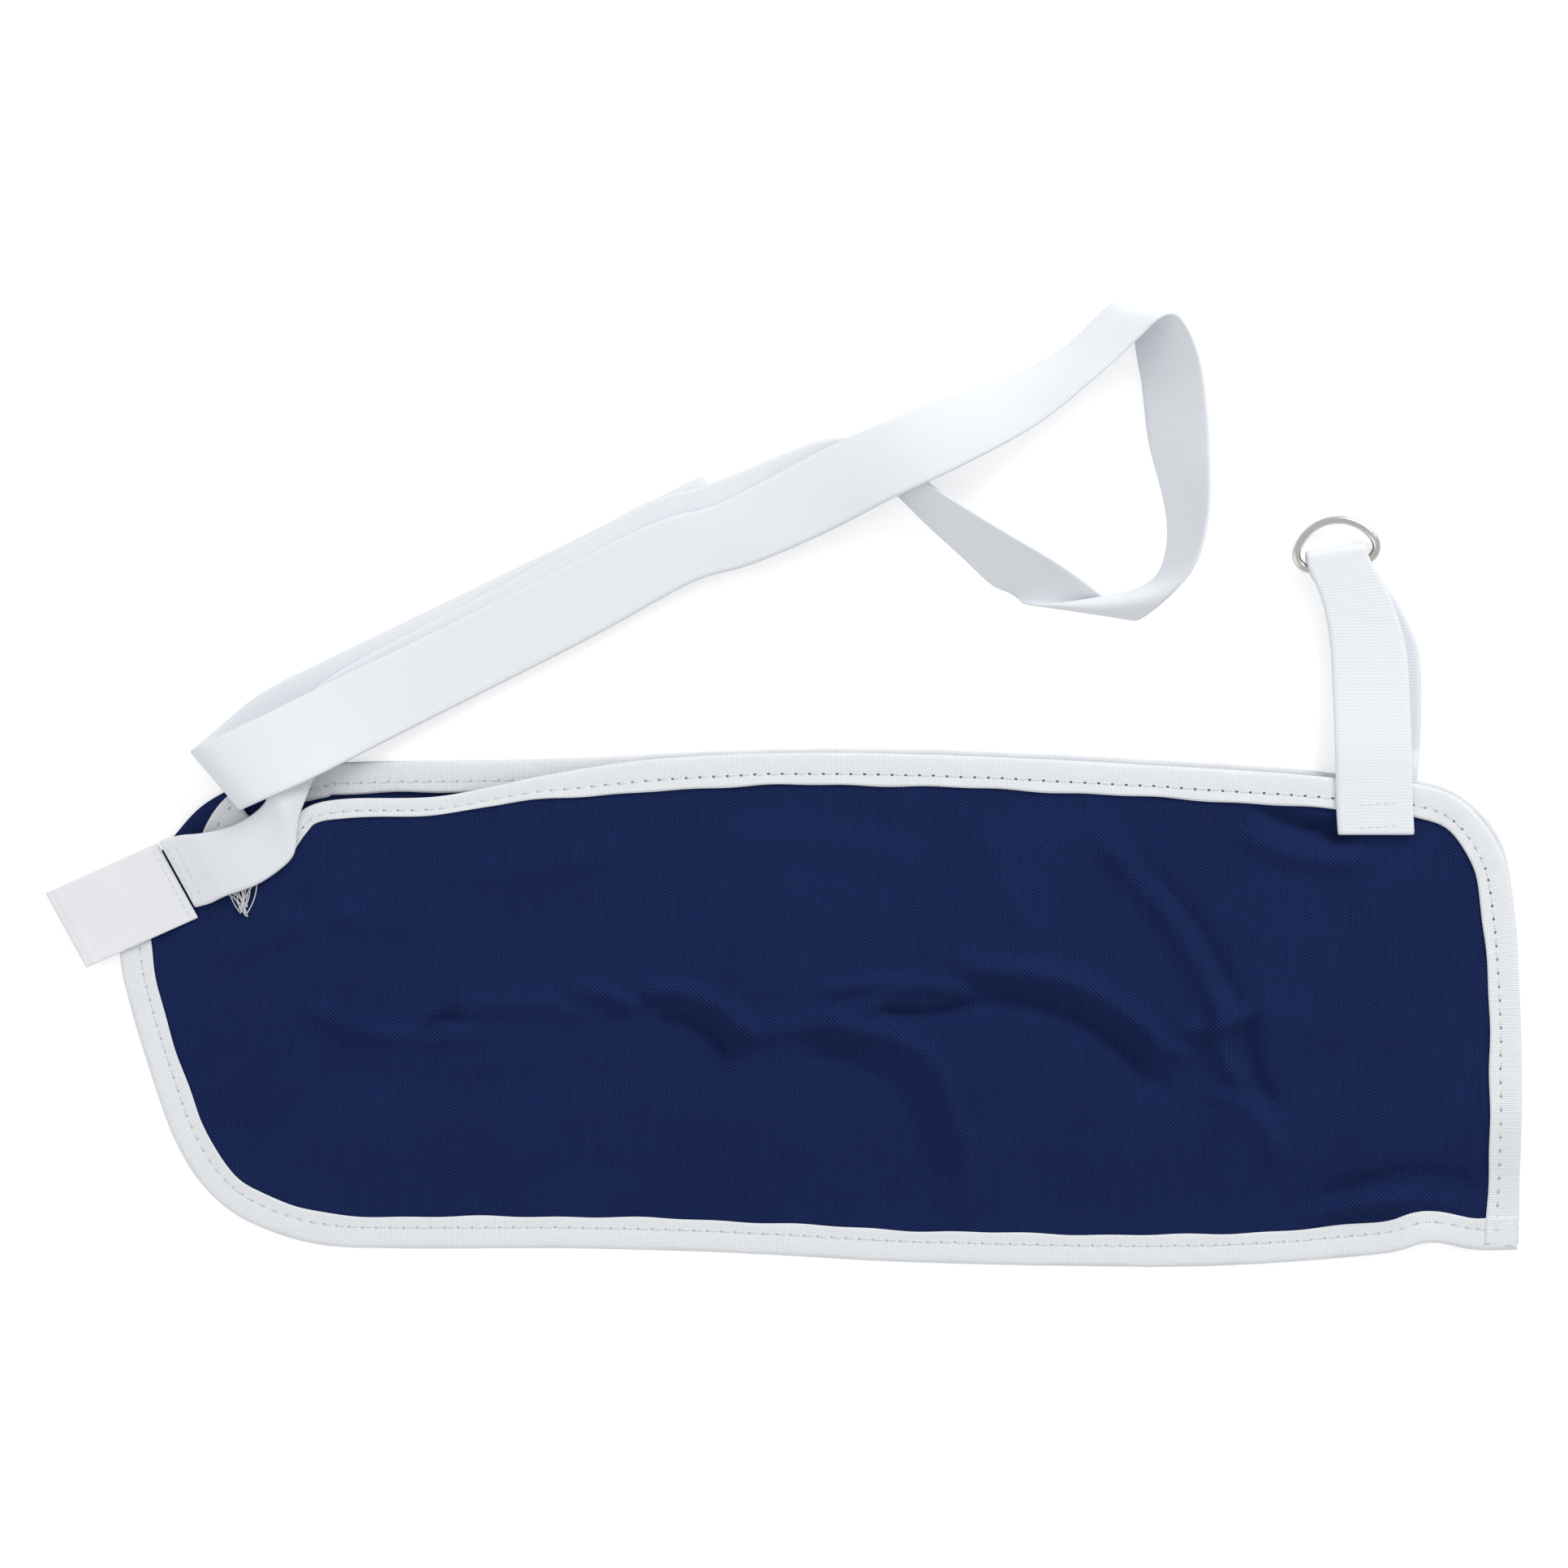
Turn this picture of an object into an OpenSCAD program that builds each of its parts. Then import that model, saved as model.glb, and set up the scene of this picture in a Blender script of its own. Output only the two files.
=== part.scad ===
// Envelope arm sling, lying flat: a cloth pouch of two panels bound in woven tape, a ring tab with its
// D-ring at the hand end, and a soft shoulder strap sewn on at the elbow end.
// Millimetres. +X runs towards the hand end, +Y towards the mouth, +Z up from the surface it lies on.

/* [Pouch] */
// Length of the pouch from elbow end to hand end
pouch_l = 482; // [460:1:600]
// Depth of the pouch from the bottom seam to the mouth
pouch_h = 178; // [150:1:215]
// Thickness of one cloth panel
panel_t = 1; // [0.6:0.1:1.4]
// Free height inside the pouch as it lies
pouch_gap = 6; // [5:0.5:7]
// Distance over which the front panel rises from the seam
seam_ramp = 40; // [25:1:60]

/* [Binding and thread] */
// Width of the folded binding tape
binding_w = 11; // [8:0.5:14]
// Thickness of the binding tape
tape_t = 0.4; // [0.3:0.05:0.6]
// Width of a row of thread
thread_w = 0.6; // [0.4:0.1:1]
// Height of a row of thread above what it holds
thread_h = 0.3; // [0.2:0.05:0.5]

/* [Strap and ring tab] */
// Width of the webbing of the shoulder strap and the tab
strap_w = 25.4; // [20:0.1:32]
// Thickness of the webbing
strap_t = 1.2; // [0.8:0.1:1.6]
// Length of the hook patch at the strap's free end
hook_l = 50; // [30:1:80]
// Thickness of the hook patch
hook_t = 1; // [0.6:0.1:1]

/* [Ring] */
// Width of the D-ring between the centres of its wire
ring_w = 28; // [27:0.5:40]
// Height of the D-ring from the bar to the crown, between wire centres
ring_h = 15.5; // [14:0.5:24]
// Radius of the ring's lower corners
ring_corner = 5; // [3:0.5:6]
// Thickness of the ring's wire
wire_d = 3.1; // [2.4:0.1:3.6]

/* [Label] */
// Length of the label that shows
label_l = 41.6; // [30:1:60]
// Width of the label
label_w = 29; // [20:1:36]
// Thickness of the label
label_t = 0.4; // [0.3:0.1:0.6]

/* [Hidden] */

row_in = 7.2;       // distance of the row of thread from the bound edge
slack = 0.15;       // room between a cloth edge and the tape folded round it
split = 0.3;        // gap at the crease between the two parts of the front panel
pouch_x = 12;       // middle of the pouch along X
seam_y = -166;      // lowest point of the bottom seam
hand_x = pouch_x + pouch_l / 2;
elbow_x = pouch_x - pouch_l / 2;
mouth_y = seam_y + pouch_h;

// levels of the flat layers
back_z = tape_t + slack;                       // underside of the back panel
back_top = back_z + panel_t;
edge_t = 2 * (tape_t + slack) + panel_t;       // one bound edge, both tapes included
front_z = back_top + 0.05;                     // underside of the front panel at the seam
seam_top = front_z + panel_t + slack + tape_t;
roll_z = back_top + 0.05;                      // underside of the tape on the rolled corner

function smooth(t) = let (u = min(max(t, 0), 1)) u * u * (3 - 2 * u);
function mix(a, b, t) = a + (b - a) * t;
function unit(v) = v / norm(v);
function flat(p) = [p[0], p[1]];

// Catmull-Rom curve through pts, with n steps between neighbours
function blend4(a, b, c, d, t) = 0.5 * (2 * b + (c - a) * t + (2 * a - 5 * b + 4 * c - d) * t * t
    + (3 * b - a - 3 * c + d) * t * t * t);
function curve(pts, n) = let (last = len(pts) - 1) [for (i = [0 : last - 1], k = [0 : n - 1])
    blend4(pts[max(i - 1, 0)], pts[i], pts[i + 1], pts[min(i + 2, last)], k / n), pts[last]];

// unit normal of a plan path at each point, on its left side
function normals(path) = let (last = len(path) - 1) [for (i = [0 : last])
    let (d = unit(path[min(i + 1, last)] - path[max(i - 1, 0)])) [-d[1], d[0]]];
function inset(path, n) = let (side = normals(path)) [for (i = [0 : len(path) - 1]) path[i] + side[i] * n];
function part(path, a, b) = [for (i = [a : b]) path[i]];
function reverse(path) = [for (i = [len(path) - 1 : -1 : 0]) path[i]];

// distance from p to the segment a b, and to a whole path
function to_segment(p, a, b) = let (d = b - a, t = min(max((p - a) * d / (d * d), 0), 1)) norm(p - a - d * t);
function to_path(p, path) = min([for (i = [0 : len(path) - 2]) to_segment(p, path[i], path[i + 1])]);

// plan outline of the closed seam, from the hand corner along the bottom and up round the elbow
seam_path = curve([[hand_x - 0.5, seam_y + 5.5], [hand_x - 15, seam_y + 5.5], [hand_x - 31, seam_y + 8],
    [hand_x - 48, seam_y + 4], [hand_x - 103, seam_y], [hand_x - 159, seam_y], [hand_x - 216, seam_y + 1.5],
    [elbow_x + 210, seam_y + 4.5], [elbow_x + 154, seam_y + 6], [elbow_x + 93, seam_y + 6],
    [elbow_x + 65, seam_y + 8], [elbow_x + 42, seam_y + 16.5], [elbow_x + 28, seam_y + 28.5],
    [elbow_x + 18.5, seam_y + 44.5], [elbow_x + 11.5, seam_y + 64], [elbow_x + 4.5, mouth_y - 91.5],
    [elbow_x + 0.5, mouth_y - 74], [elbow_x, mouth_y - 58], [elbow_x + 7, mouth_y - 44]], 2);

// plan outline of the front panel's free edge, from the hand corner up and along the mouth to the elbow
front_path = curve([[hand_x - 0.5, seam_y + 6.5], [hand_x, seam_y + 18], [hand_x + 0.5, seam_y + 64],
    [hand_x - 0.5, mouth_y - 78], [hand_x - 3, mouth_y - 50], [hand_x - 8, mouth_y - 32.5],
    [hand_x - 20, mouth_y - 18], [hand_x - 36, mouth_y - 12], [hand_x - 62, mouth_y - 10],
    [hand_x - 95, mouth_y - 7.5], [hand_x - 188, mouth_y - 2.5], [hand_x - 258, mouth_y - 1.5],
    [elbow_x + 154, mouth_y - 5.5], [elbow_x + 127, mouth_y - 9], [elbow_x + 107, mouth_y - 12],
    [elbow_x + 79, mouth_y - 12.5], [elbow_x + 66, mouth_y - 15], [elbow_x + 60, mouth_y - 21],
    [elbow_x + 53, mouth_y - 33], [elbow_x + 42.5, mouth_y - 50.5]], 3);
flap_first = 4;     // where the crease meets the hand end, as a step of front_path
flap_last = 45;     // where the crease meets the mouth

// plan outline of the back panel's free edge, from the hand corner to the rolled elbow corner
back_path = curve([[hand_x, seam_y + 6], [hand_x + 0.5, seam_y + 18.5], [hand_x + 1, seam_y + 64], [hand_x + 0.5, mouth_y - 77],
    [hand_x - 2, mouth_y - 48], [hand_x - 6.5, mouth_y - 30], [hand_x - 19, mouth_y - 16.5],
    [hand_x - 35, mouth_y - 10.5], [hand_x - 62, mouth_y - 8.5], [hand_x - 91, mouth_y - 5.5],
    [hand_x - 188, mouth_y - 0.5], [hand_x - 258, mouth_y], [elbow_x + 154, mouth_y - 3],
    [elbow_x + 79, mouth_y - 4.5], [elbow_x + 68, mouth_y - 6], [elbow_x + 49, mouth_y - 9.5]], 3);
back_first = 4;     // where its tape is folded fully round it, as a step of back_path
// edge of the corner that rolls forward over itself, and the fold line outside it
roll_path = curve([[elbow_x + 49, mouth_y - 9.5], [elbow_x + 37, mouth_y - 16], [elbow_x + 30, mouth_y - 26],
    [elbow_x + 26, mouth_y - 40]], 3);
fold_path = [[elbow_x + 18, mouth_y - 32], [elbow_x + 29, mouth_y - 20], [elbow_x + 45, mouth_y - 12]];

// the front panel lies on the back one at the seam and rises to full height inside
function rise(p) = pouch_gap * smooth((to_path(flat(p), seam_path) - binding_w) / seam_ramp);
function on_front(p, z) = [p[0], p[1], front_z + rise(p) + z];

// a sheet of thickness t (along Z) over a grid of underside points
module sheet(rows, t) {
    n = len(rows);
    m = len(rows[0]);
    under = [for (row = rows) each row];
    over = [for (p = under) p + [0, 0, t]];
    size = n * m;
    rim = concat([for (j = [0 : m - 1]) j], [for (i = [1 : n - 1]) i * m + m - 1],
        [for (j = [m - 2 : -1 : 0]) (n - 1) * m + j], [for (i = [n - 2 : -1 : 1]) i * m]);
    faces = [
        for (i = [0 : n - 2], j = [0 : m - 2]) each let (a = i * m + j, b = a + 1, c = a + m, d = c + 1)
            [[a, c, b], [b, c, d], [size + a, size + b, size + c], [size + b, size + d, size + c]],
        for (k = [0 : len(rim) - 1]) each let (a = rim[k], b = rim[(k + 1) % len(rim)])
            [[a, b, size + a], [b, size + b, size + a]]];
    polyhedron(concat(under, over), faces);
}

// a closed section carried along a path: each entry of rings is the same loop of points, moved
module sweep(rings) {
    n = len(rings);
    m = len(rings[0]);
    faces = concat([[for (j = [0 : m - 1]) j]], [[for (j = [m - 1 : -1 : 0]) (n - 1) * m + j]],
        [for (i = [0 : n - 2], j = [0 : m - 1]) each let (a = i * m + j, b = i * m + (j + 1) % m)
            [[a, a + m, b], [b, a + m, b + m]]]);
    polyhedron([for (ring = rings) each ring], faces);
}

// tape folded round an edge: place(p, z) puts a plan point at height z above the edge's own level
module folded_tape(path, side, height, front) {
    lip = tape_t;
    thirds = [lip, binding_w / 3, binding_w * 2 / 3, binding_w];
    back = reverse(thirds);
    section = concat([[0, 0]], [for (n = thirds) [n, 0]], [for (n = back) [n, lip]],
        [for (n = thirds) [n, height - lip]], [for (n = back) [n, height]], [[0, height]]);
    sweep([for (i = [0 : len(path) - 1]) [for (s = section)
        let (p = path[i] + side[i] * s[0]) front ? on_front(p, s[1] - tape_t - slack) : [p[0], p[1], s[1]]]]);
}

// a row of thread lying on a tape, n in from the edge of the path
module thread_row(path, n, z, front) {
    side = normals(path);
    section = [[n, z], [n + thread_w, z], [n + thread_w, z + thread_h], [n, z + thread_h]];
    sweep([for (i = [0 : len(path) - 1]) [for (s = section)
        let (p = path[i] + side[i] * s[0]) front ? on_front(p, s[1]) : [p[0], p[1], s[1]]]]);
}

// webbing between two edges given as [left point, right point] stations, thick across its face
module webbing(stations, t) {
    last = len(stations) - 1;
    middle = [for (s = stations) (s[0] + s[1]) / 2];
    face = [for (i = [0 : last]) unit(cross(middle[min(i + 1, last)] - middle[max(i - 1, 0)],
        stations[i][0] - stations[i][1]))];
    sweep([for (i = [0 : last]) [stations[i][0] + face[i] * t / 2, stations[i][1] + face[i] * t / 2,
        stations[i][1] - face[i] * t / 2, stations[i][0] - face[i] * t / 2]]);
}

// crease of the front panel, from the hand end's foot to the mouth near the elbow
crease_a = front_path[flap_first];
crease_b = front_path[flap_last] - [0, binding_w + 1];
crease_dir = unit(crease_b - crease_a);
crease_side = [crease_dir[1], -crease_dir[0]];
front_side = normals(front_path);

module back_panel() {
    color("midnightblue") translate([0, 0, back_z]) linear_extrude(panel_t)
        polygon(concat(inset(seam_path, -tape_t - slack), fold_path,
            reverse(part(inset(back_path, tape_t + slack), 1, len(back_path) - 1))));
}

// the back panel's elbow corner, rolled forward on itself, and the fold that carries it
module back_panel_corner() {
    rolled = part(roll_path, 3, len(roll_path) - 1);
    fold = part(fold_path, 0, 1);
    roll_under = roll_z + tape_t + slack;
    color("midnightblue") {
        translate([0, 0, roll_under]) linear_extrude(panel_t)
            polygon(concat(inset(rolled, binding_w - tape_t - slack), fold));
        translate([0, 0, back_top]) linear_extrude(roll_under - back_top + panel_t / 2)
            polygon(concat(fold, reverse([for (p = fold) p + [1.2, -1]])));
    }
}

// seam side and crease side of the fixed part of the front panel, matched step by step
seam_in = inset(seam_path, -tape_t - slack);
seam_steps = len(seam_in) - 1;
corner_step = 26;   // step of the seam that faces the mouth end of the crease
tail_step = 32;     // step of the seam that faces the cut end of the edge binding
tail_in = inset(part(front_path, flap_last, len(front_path) - 1), tape_t + slack);
tail_last = len(tail_in) - 1;
elbow_cut = [elbow_x + 14, mouth_y - 43];
// how far across from the far side towards the seam each column of points lies
columns = [0, 0.01, 0.03, 0.065, 0.11, 0.17, 0.25, 0.34, 0.44, 0.55, 0.66, 0.77, 0.86, 0.93, 1];

function seam_at(u) = let (i = min(floor(u), seam_steps - 1)) mix(seam_in[i], seam_in[i + 1], u - i);
function from_seam(p, u) = [for (t = columns) let (q = mix(p, seam_at(u), t)) on_front(q, 0)];

module front_panel() {
    color("midnightblue") sheet(concat(
        [for (i = [1 : corner_step]) from_seam(mix(crease_a, crease_b, i / corner_step), i)],
        [for (k = [0 : tail_last])
            from_seam(tail_in[k], corner_step + 1 + (tail_step - corner_step - 1) * k / tail_last)],
        [for (i = [tail_step + 1 : seam_steps])
            from_seam(mix(tail_in[tail_last], elbow_cut, (i - tail_step) / (seam_steps - tail_step)), i)]),
        panel_t);
}

module front_panel_flap() {
    steps = 10;
    edge = inset(front_path, tape_t + slack);
    under = inset(front_path, binding_w);
    third = (binding_w - tape_t - slack) / 3;
    color("midnightblue")
        sheet([for (i = [flap_first + 1 : flap_last - 1]) concat(
            [for (k = [0 : 2]) on_front(edge[i] + front_side[i] * third * k, 0)], [for (j = [0 : steps])
            let (along = (under[i] - crease_a) * crease_dir,
                foot = crease_a + crease_dir * along + crease_side * split)
            on_front(mix(under[i], foot, j / steps), 0)])], panel_t);
}

module back_edge_binding() {
    side = normals(back_path);
    turn = normals(roll_path);
    color("whitesmoke") {
        folded_tape(part(back_path, back_first, len(back_path) - 1), part(side, back_first, len(back_path) - 1),
            edge_t, false);
        // its lower half alone where the two panels are pressed together
        sweep([for (i = [3, back_first]) [for (s = [[0, 0], [binding_w, 0], [binding_w, tape_t], [0, tape_t]])
            [back_path[i][0] + side[i][0] * s[0], back_path[i][1] + side[i][1] * s[0] - (i > 3 ? split : 0), s[1]]]]);
        // round the edge of the rolled corner
        sweep([for (i = [3 : len(roll_path) - 1]) [for (s = [[binding_w, 0], [binding_w, edge_t], [0, edge_t],
            [0, edge_t - tape_t], [binding_w - tape_t, edge_t - tape_t], [binding_w - tape_t, tape_t],
            [0, tape_t], [0, 0]])
            [roll_path[i][0] + turn[i][0] * s[0], roll_path[i][1] + turn[i][1] * s[0], roll_z + s[1]]]]);
    }
}

module back_edge_stitching() {
    last = len(back_path) - 1;
    color("white") thread_row(part(back_path, back_first + 1, last), row_in, edge_t, false);
}

module front_edge_binding() {
    color("whitesmoke")
        folded_tape(concat(part(front_path, flap_first, flap_last - 1), [front_path[flap_last] + [split / 2, 0]]),
            concat(part(front_side, flap_first, flap_last - 1), [[0, -1]]), edge_t, true);
}

module front_edge_binding_ends() {
    last = len(front_path) - 1;
    corner = concat(part(front_path, 3, flap_first - 1), [front_path[flap_first] - [0, split]]);
    side = part(front_side, 3, flap_first);
    color("whitesmoke") {
        folded_tape(concat([front_path[flap_last] - [split / 2, 0]], part(front_path, flap_last + 1, last)),
            concat([[0, -1]], part(front_side, flap_last + 1, last)), edge_t, true);
        // at the hand corner, where the two edges are pressed together, only its upper half
        sweep([for (i = [0 : len(corner) - 1])
            [for (s = [[0, 0], [binding_w, 0], [binding_w, tape_t], [0, tape_t]])
                on_front(corner[i] + side[i] * s[0], panel_t + slack + s[1])]]);
    }
}

module front_edge_stitching() {
    color("white")
        thread_row(part(front_path, flap_first + 1, flap_last - 1), row_in,
            edge_t - tape_t - slack, true);
}

module seam_binding() {
    color("whitesmoke") sweep([for (i = [0 : len(seam_path) - 1])
        let (side = -normals(seam_path)[i])
        [for (s = [[0, seam_top], [binding_w, seam_top], [binding_w, seam_top - tape_t],
            [tape_t, seam_top - tape_t], [tape_t, tape_t], [binding_w, tape_t], [binding_w, 0], [0, 0]])
            [seam_path[i][0] + side[0] * s[0], seam_path[i][1] + side[1] * s[0], s[1]]]]);
}

module seam_stitching() {
    color("white") sweep([for (i = [0 : len(seam_path) - 1])
        let (side = -normals(seam_path)[i])
        [for (s = [[row_in, thread_h], [row_in + thread_w, thread_h], [row_in + thread_w, 0], [row_in, 0]])
            [seam_path[i][0] + side[0] * s[0], seam_path[i][1] + side[1] * s[0], seam_top + s[1]]]]);
}

// the ring's bar: its middle, the way it runs, and the way the ring points from it
bar_at = [191, 75.5, 3.4];
bar_dir = [cos(9), sin(9), 0];
ring_dir = [-sin(9), cos(9), 0];
turn_r = wire_d / 2 + 0.35 + strap_t / 2;      // radius of the tab's loop round the bar
tab_half = 10;                                 // half the width of the tab where it passes the ring

// stations carry the edges of 25.4 mm webbing; the set width widens or narrows them about their middle
function fitted(stations) = [for (s = stations) let (m = (s[0] + s[1]) / 2, k = strap_w / 25.4)
    [m + (s[0] - m) * k, m + (s[1] - m) * k]];

tab_front = [[[190.5, -17, 10.2], [215.9, -17, 10.2]], [[190, -8, 10.2], [215.4, -8, 10.2]],
    [[189.8, 4, 10.2], [215.2, 4, 10.2]], [[189.6, 12, 9.8], [215, 12, 9.8]],
    [[189.4, 22, 8.6], [214.8, 22, 8.6]], [[189, 34, 7.2], [214.4, 34, 7.2]],
    [[188.5, 46, 6.3], [213.5, 46, 6.3]], [[187, 57, 6], [210.5, 57.5, 6]],
    [[184.5, 66, 5.9], [206.5, 68, 5.9]]];
tab_turn = [for (a = [90 : -30 : -90])
    let (m = bar_at + ring_dir * (3.4 + turn_r * cos(a)) + [0, 0, turn_r * sin(a)])
    [m - bar_dir * tab_half, m + bar_dir * tab_half]];
tab_bar = [let (m = bar_at + [0, 0, turn_r]) [m - bar_dir * tab_half, m + bar_dir * tab_half]];
tab_under = [let (m = bar_at - [0, 0, turn_r]) [m - bar_dir * tab_half, m + bar_dir * tab_half]];
tab_back = [[[185.5, 66, 0.9], [208.5, 67, 0.9]], [[190.5, 55, 0.9], [215.3, 55, 0.9]],
    [[193.5, 44, 0.9], [218.9, 44, 0.9]], [[194, 28, 0.9], [219.4, 28, 0.9]],
    [[193.6, 14.2, 0.9], [219, 14.2, 0.9]]];
tab_sewn = [[[193.6, 13.8, 0.9], [219, 13.8, 0.9]], [[193.2, 11, 1.1], [218.6, 11, 1.1]],
    [[192.6, 5.5, 3.2], [218, 5.5, 3.2]], [[192.2, 0, 3.3], [217.6, 0, 3.3]],
    [[192, -9, 3.2], [217.4, -9, 3.2]], [[192, -18, 2.4], [217.4, -18, 2.4]]];

module ring_tab() {
    color("white") webbing(concat(fitted(tab_front), tab_bar, tab_turn, tab_under, fitted(tab_back)), strap_t);
}

module ring_tab_sewn_end() {
    color("white") webbing(fitted(tab_sewn), strap_t);
}

module tab_stitching() {
    color("white") for (y = [-6.7, -14.5])
        translate([197.5, y, 10.2 + strap_t / 2]) cube([14, thread_w, thread_h]);
}

// the ring lies flat, its bar along X before it is turned and placed
module d_ring() {
    half = ring_w / 2 - ring_corner;
    r = wire_d / 2;
    // the crown's arc meets both corners smoothly
    crown_y = (pow(ring_h - ring_corner, 2) - half * half - ring_corner * ring_corner)
        / (2 * (ring_h - 2 * ring_corner));
    crown_r = ring_h - crown_y;
    lean = atan2(ring_corner - crown_y, half);
    swell = 0.05;   // the corners, where the wire is bent, are that much thicker
    color("silver") translate(bar_at) rotate([0, 0, 9]) union() {
        translate([-half - 0.5, 0, 0]) rotate([0, 90, 0]) cylinder(h = 2 * half + 1, r = r, $fn = 32);
        translate([0, crown_y, 0]) rotate([0, 0, lean - 2])
            rotate_extrude(angle = 184 - 2 * lean, $fn = 96) translate([crown_r, 0]) circle(r = r, $fn = 32);
        for (k = [0, 1]) mirror([k, 0, 0]) translate([half, ring_corner, 0]) rotate([0, 0, -90])
            rotate_extrude(angle = 90 + lean, $fn = 64) translate([ring_corner, 0]) circle(r = r + swell, $fn = 32);
    }
}

// the label hangs out from under the sewn end of the strap
label_at = [-216, -20.6];
label_across = unit([12.1, -22.1]);
label_out = unit([-40.7, -18.2]);
label_z = seam_top + thread_h + 0.8;

module label() {
    color("ivory") translate([0, 0, label_z]) linear_extrude(label_t) polygon([label_at,
        label_at + label_across * label_w, label_at + label_across * label_w + label_out * label_l,
        label_at + label_out * label_l]);
}

module label_stitching() {
    a = label_at + label_across * 1.5 + label_out * 2;
    b = a + label_across * (label_w - 3);
    color("white") translate([0, 0, label_z + label_t]) linear_extrude(thread_h)
        polygon([a, b, b + label_out * thread_w, a + label_out * thread_w]);
}

// edges of the strap, from its sewn end over the mouth, out to the hand side, round the loop,
// back across and doubled under to its free end
strap_stations = [
    [[-214.5, -20, 5.2], [-202.5, -42, 4.8]], [[-207.5, -18, 7.2], [-197, -40.5, 6.6]],
    [[-200.5, -17.5, 9], [-192, -38, 8.4]], [[-189.5, -15, 10.4], [-181.5, -34.5, 10.2]],
    [[-181.5, -10.5, 11.6], [-172.5, -28.5, 10.4]], [[-177, -6, 14], [-168, -23, 10.4]],
    [[-175.5, -1.5, 16], [-167.5, -13.5, 10.6]], [[-173.5, 4.5, 15], [-164.5, -5, 10.8]],
    [[-172, 13, 11], [-160.5, 5, 8]], [[-169, 22, 8], [-155, 13.5, 6]],
    [[-161.5, 32.5, 5.8], [-146, 20.5, 4.6]], [[-144.5, 43.5, 4.2], [-130.5, 26, 3.8]],
    [[-119.5, 56.5, 3.6], [-108, 34.5, 3.6]], [[-85.5, 74.5, 3.7], [-74.5, 52.5, 3.7]],
    [[-48, 96.5, 3.7], [-36.5, 73.5, 3.7]], [[-29.5, 101.5, 3.7], [-20.5, 78.5, 3.7]],
    [[-10, 109, 3.6], [-2, 85.5, 3.2]], [[9.5, 117, 4.4], [14.5, 94.5, 2.4]],
    [[22, 119, 6], [25, 100, 2]], [[34, 116, 9], [33, 101, 1.6]],
    [[42, 110.5, 12], [37, 101, 1.4]], [[48, 104, 14], [40, 99, 1.2]],
    [[62.5, 94, 16.5], [50, 89, 1.2]], [[78, 84.5, 17], [61.5, 78.5, 1.2]],
    [[90.5, 77.5, 14], [71.5, 69, 1.4]], [[102, 70, 9], [77.5, 66.5, 2]],
    [[112.5, 62.5, 5], [81, 64, 2.8]], [[119.5, 56.5, 6.5], [82.5, 62.5, 4.6]],
    [[124, 58, 12], [90.5, 61.5, 7.4]], [[131, 64, 18.5], [109, 64, 7.4]],
    [[139, 73, 22.5], [127, 69, 3.6]], [[143.5, 85, 23.2], [132.5, 82, 1.2]],
    [[145.5, 99.5, 22], [131.5, 97, 1]], [[145.5, 115, 18], [126, 117, 1]],
    [[144, 134.5, 17], [124, 136, 1]], [[141, 148.5, 18], [121.5, 150, 1]],
    [[134.5, 160, 21], [121, 158, 1.2]], [[128, 159, 23], [119.5, 164, 1.4]],
    [[123, 154.5, 22.5], [114, 166, 1.6]], [[114.5, 146.5, 21.5], [106.5, 159.5, 2]],
    [[105, 138, 22], [96.5, 150, 2.6]], [[86.5, 123, 21], [76.5, 139, 5]],
    [[65.5, 111.5, 19.5], [54.5, 131.5, 9]], [[50, 104, 18.4], [38, 125, 10.5]],
    [[34.5, 97, 14.5], [24, 119.5, 9.5]], [[15, 87, 9], [5.5, 110.5, 7.4]],
    [[-13.5, 75, 6], [-24, 95, 6]], [[-31, 70.5, 5.8], [-41.5, 91, 6.2]],
    [[-64, 52, 5.6], [-74.5, 75, 5.6]], [[-110.5, 28.5, 6], [-122, 51, 6]],
    [[-141, 13, 9.6], [-153, 36, 9.6]], [[-164, 1, 17.4], [-177.5, 23.5, 14.6]],
    [[-178, -5, 19], [-192.5, 16.5, 15.6]], [[-185, -8, 16.5], [-200.5, 12.5, 14]],
    [[-186.5, -8.5, 12], [-203.5, 11, 9.6]], [[-185, -6.5, 7], [-201.5, 13, 4.4]],
    [[-178.5, -1, 4.2], [-194.5, 19, 2.4]], [[-166.5, 9.5, 2.8], [-179.5, 31.5, 1.8]],
    [[-141.5, 22, 1.8], [-153, 44.5, 1.8]], [[-91.5, 46.5, 1.8], [-102.5, 69, 1.8]],
    [[-52, 65.5, 1.8], [-63.5, 88, 1.8]], [[-17, 83, 1.8], [-28, 106, 1.8]]
];

module shoulder_strap() {
    color("white") webbing(fitted(strap_stations), strap_t);
}

// a row of thread across the strap, from station i on towards the next
module thread_across(stations, i, t) {
    a = mix(stations[i][0], stations[i + 1][0], t);
    b = mix(stations[i][1], stations[i + 1][1], t);
    along = unit(stations[i + 1][0] + stations[i + 1][1] - stations[i][0] - stations[i][1]);
    up = unit(cross(along, a - b));
    sweep([for (k = [0.15, 0.85]) let (p = mix(a, b, k) + up * (strap_t / 2 + 0.1))
        [p, p + along * thread_w, p + along * thread_w + up * thread_h, p + up * thread_h]]);
}

module strap_stitching() {
    color("white") for (t = [0.3, 0.6]) thread_across(fitted(strap_stations), 0, t);
}

// the patch sewn under the free end, and the row of thread over it
end_turn = atan2(17.7, 35.2);
end_at = [-22.5, 94.5];

module hook_patch() {
    color("gainsboro") translate([end_at[0], end_at[1], 0.1]) rotate([0, 0, end_turn])
        translate([-hook_l - 1.5, 1.2 - strap_w / 2, 0]) cube([hook_l, strap_w - 2.4, hook_t]);
}

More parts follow.
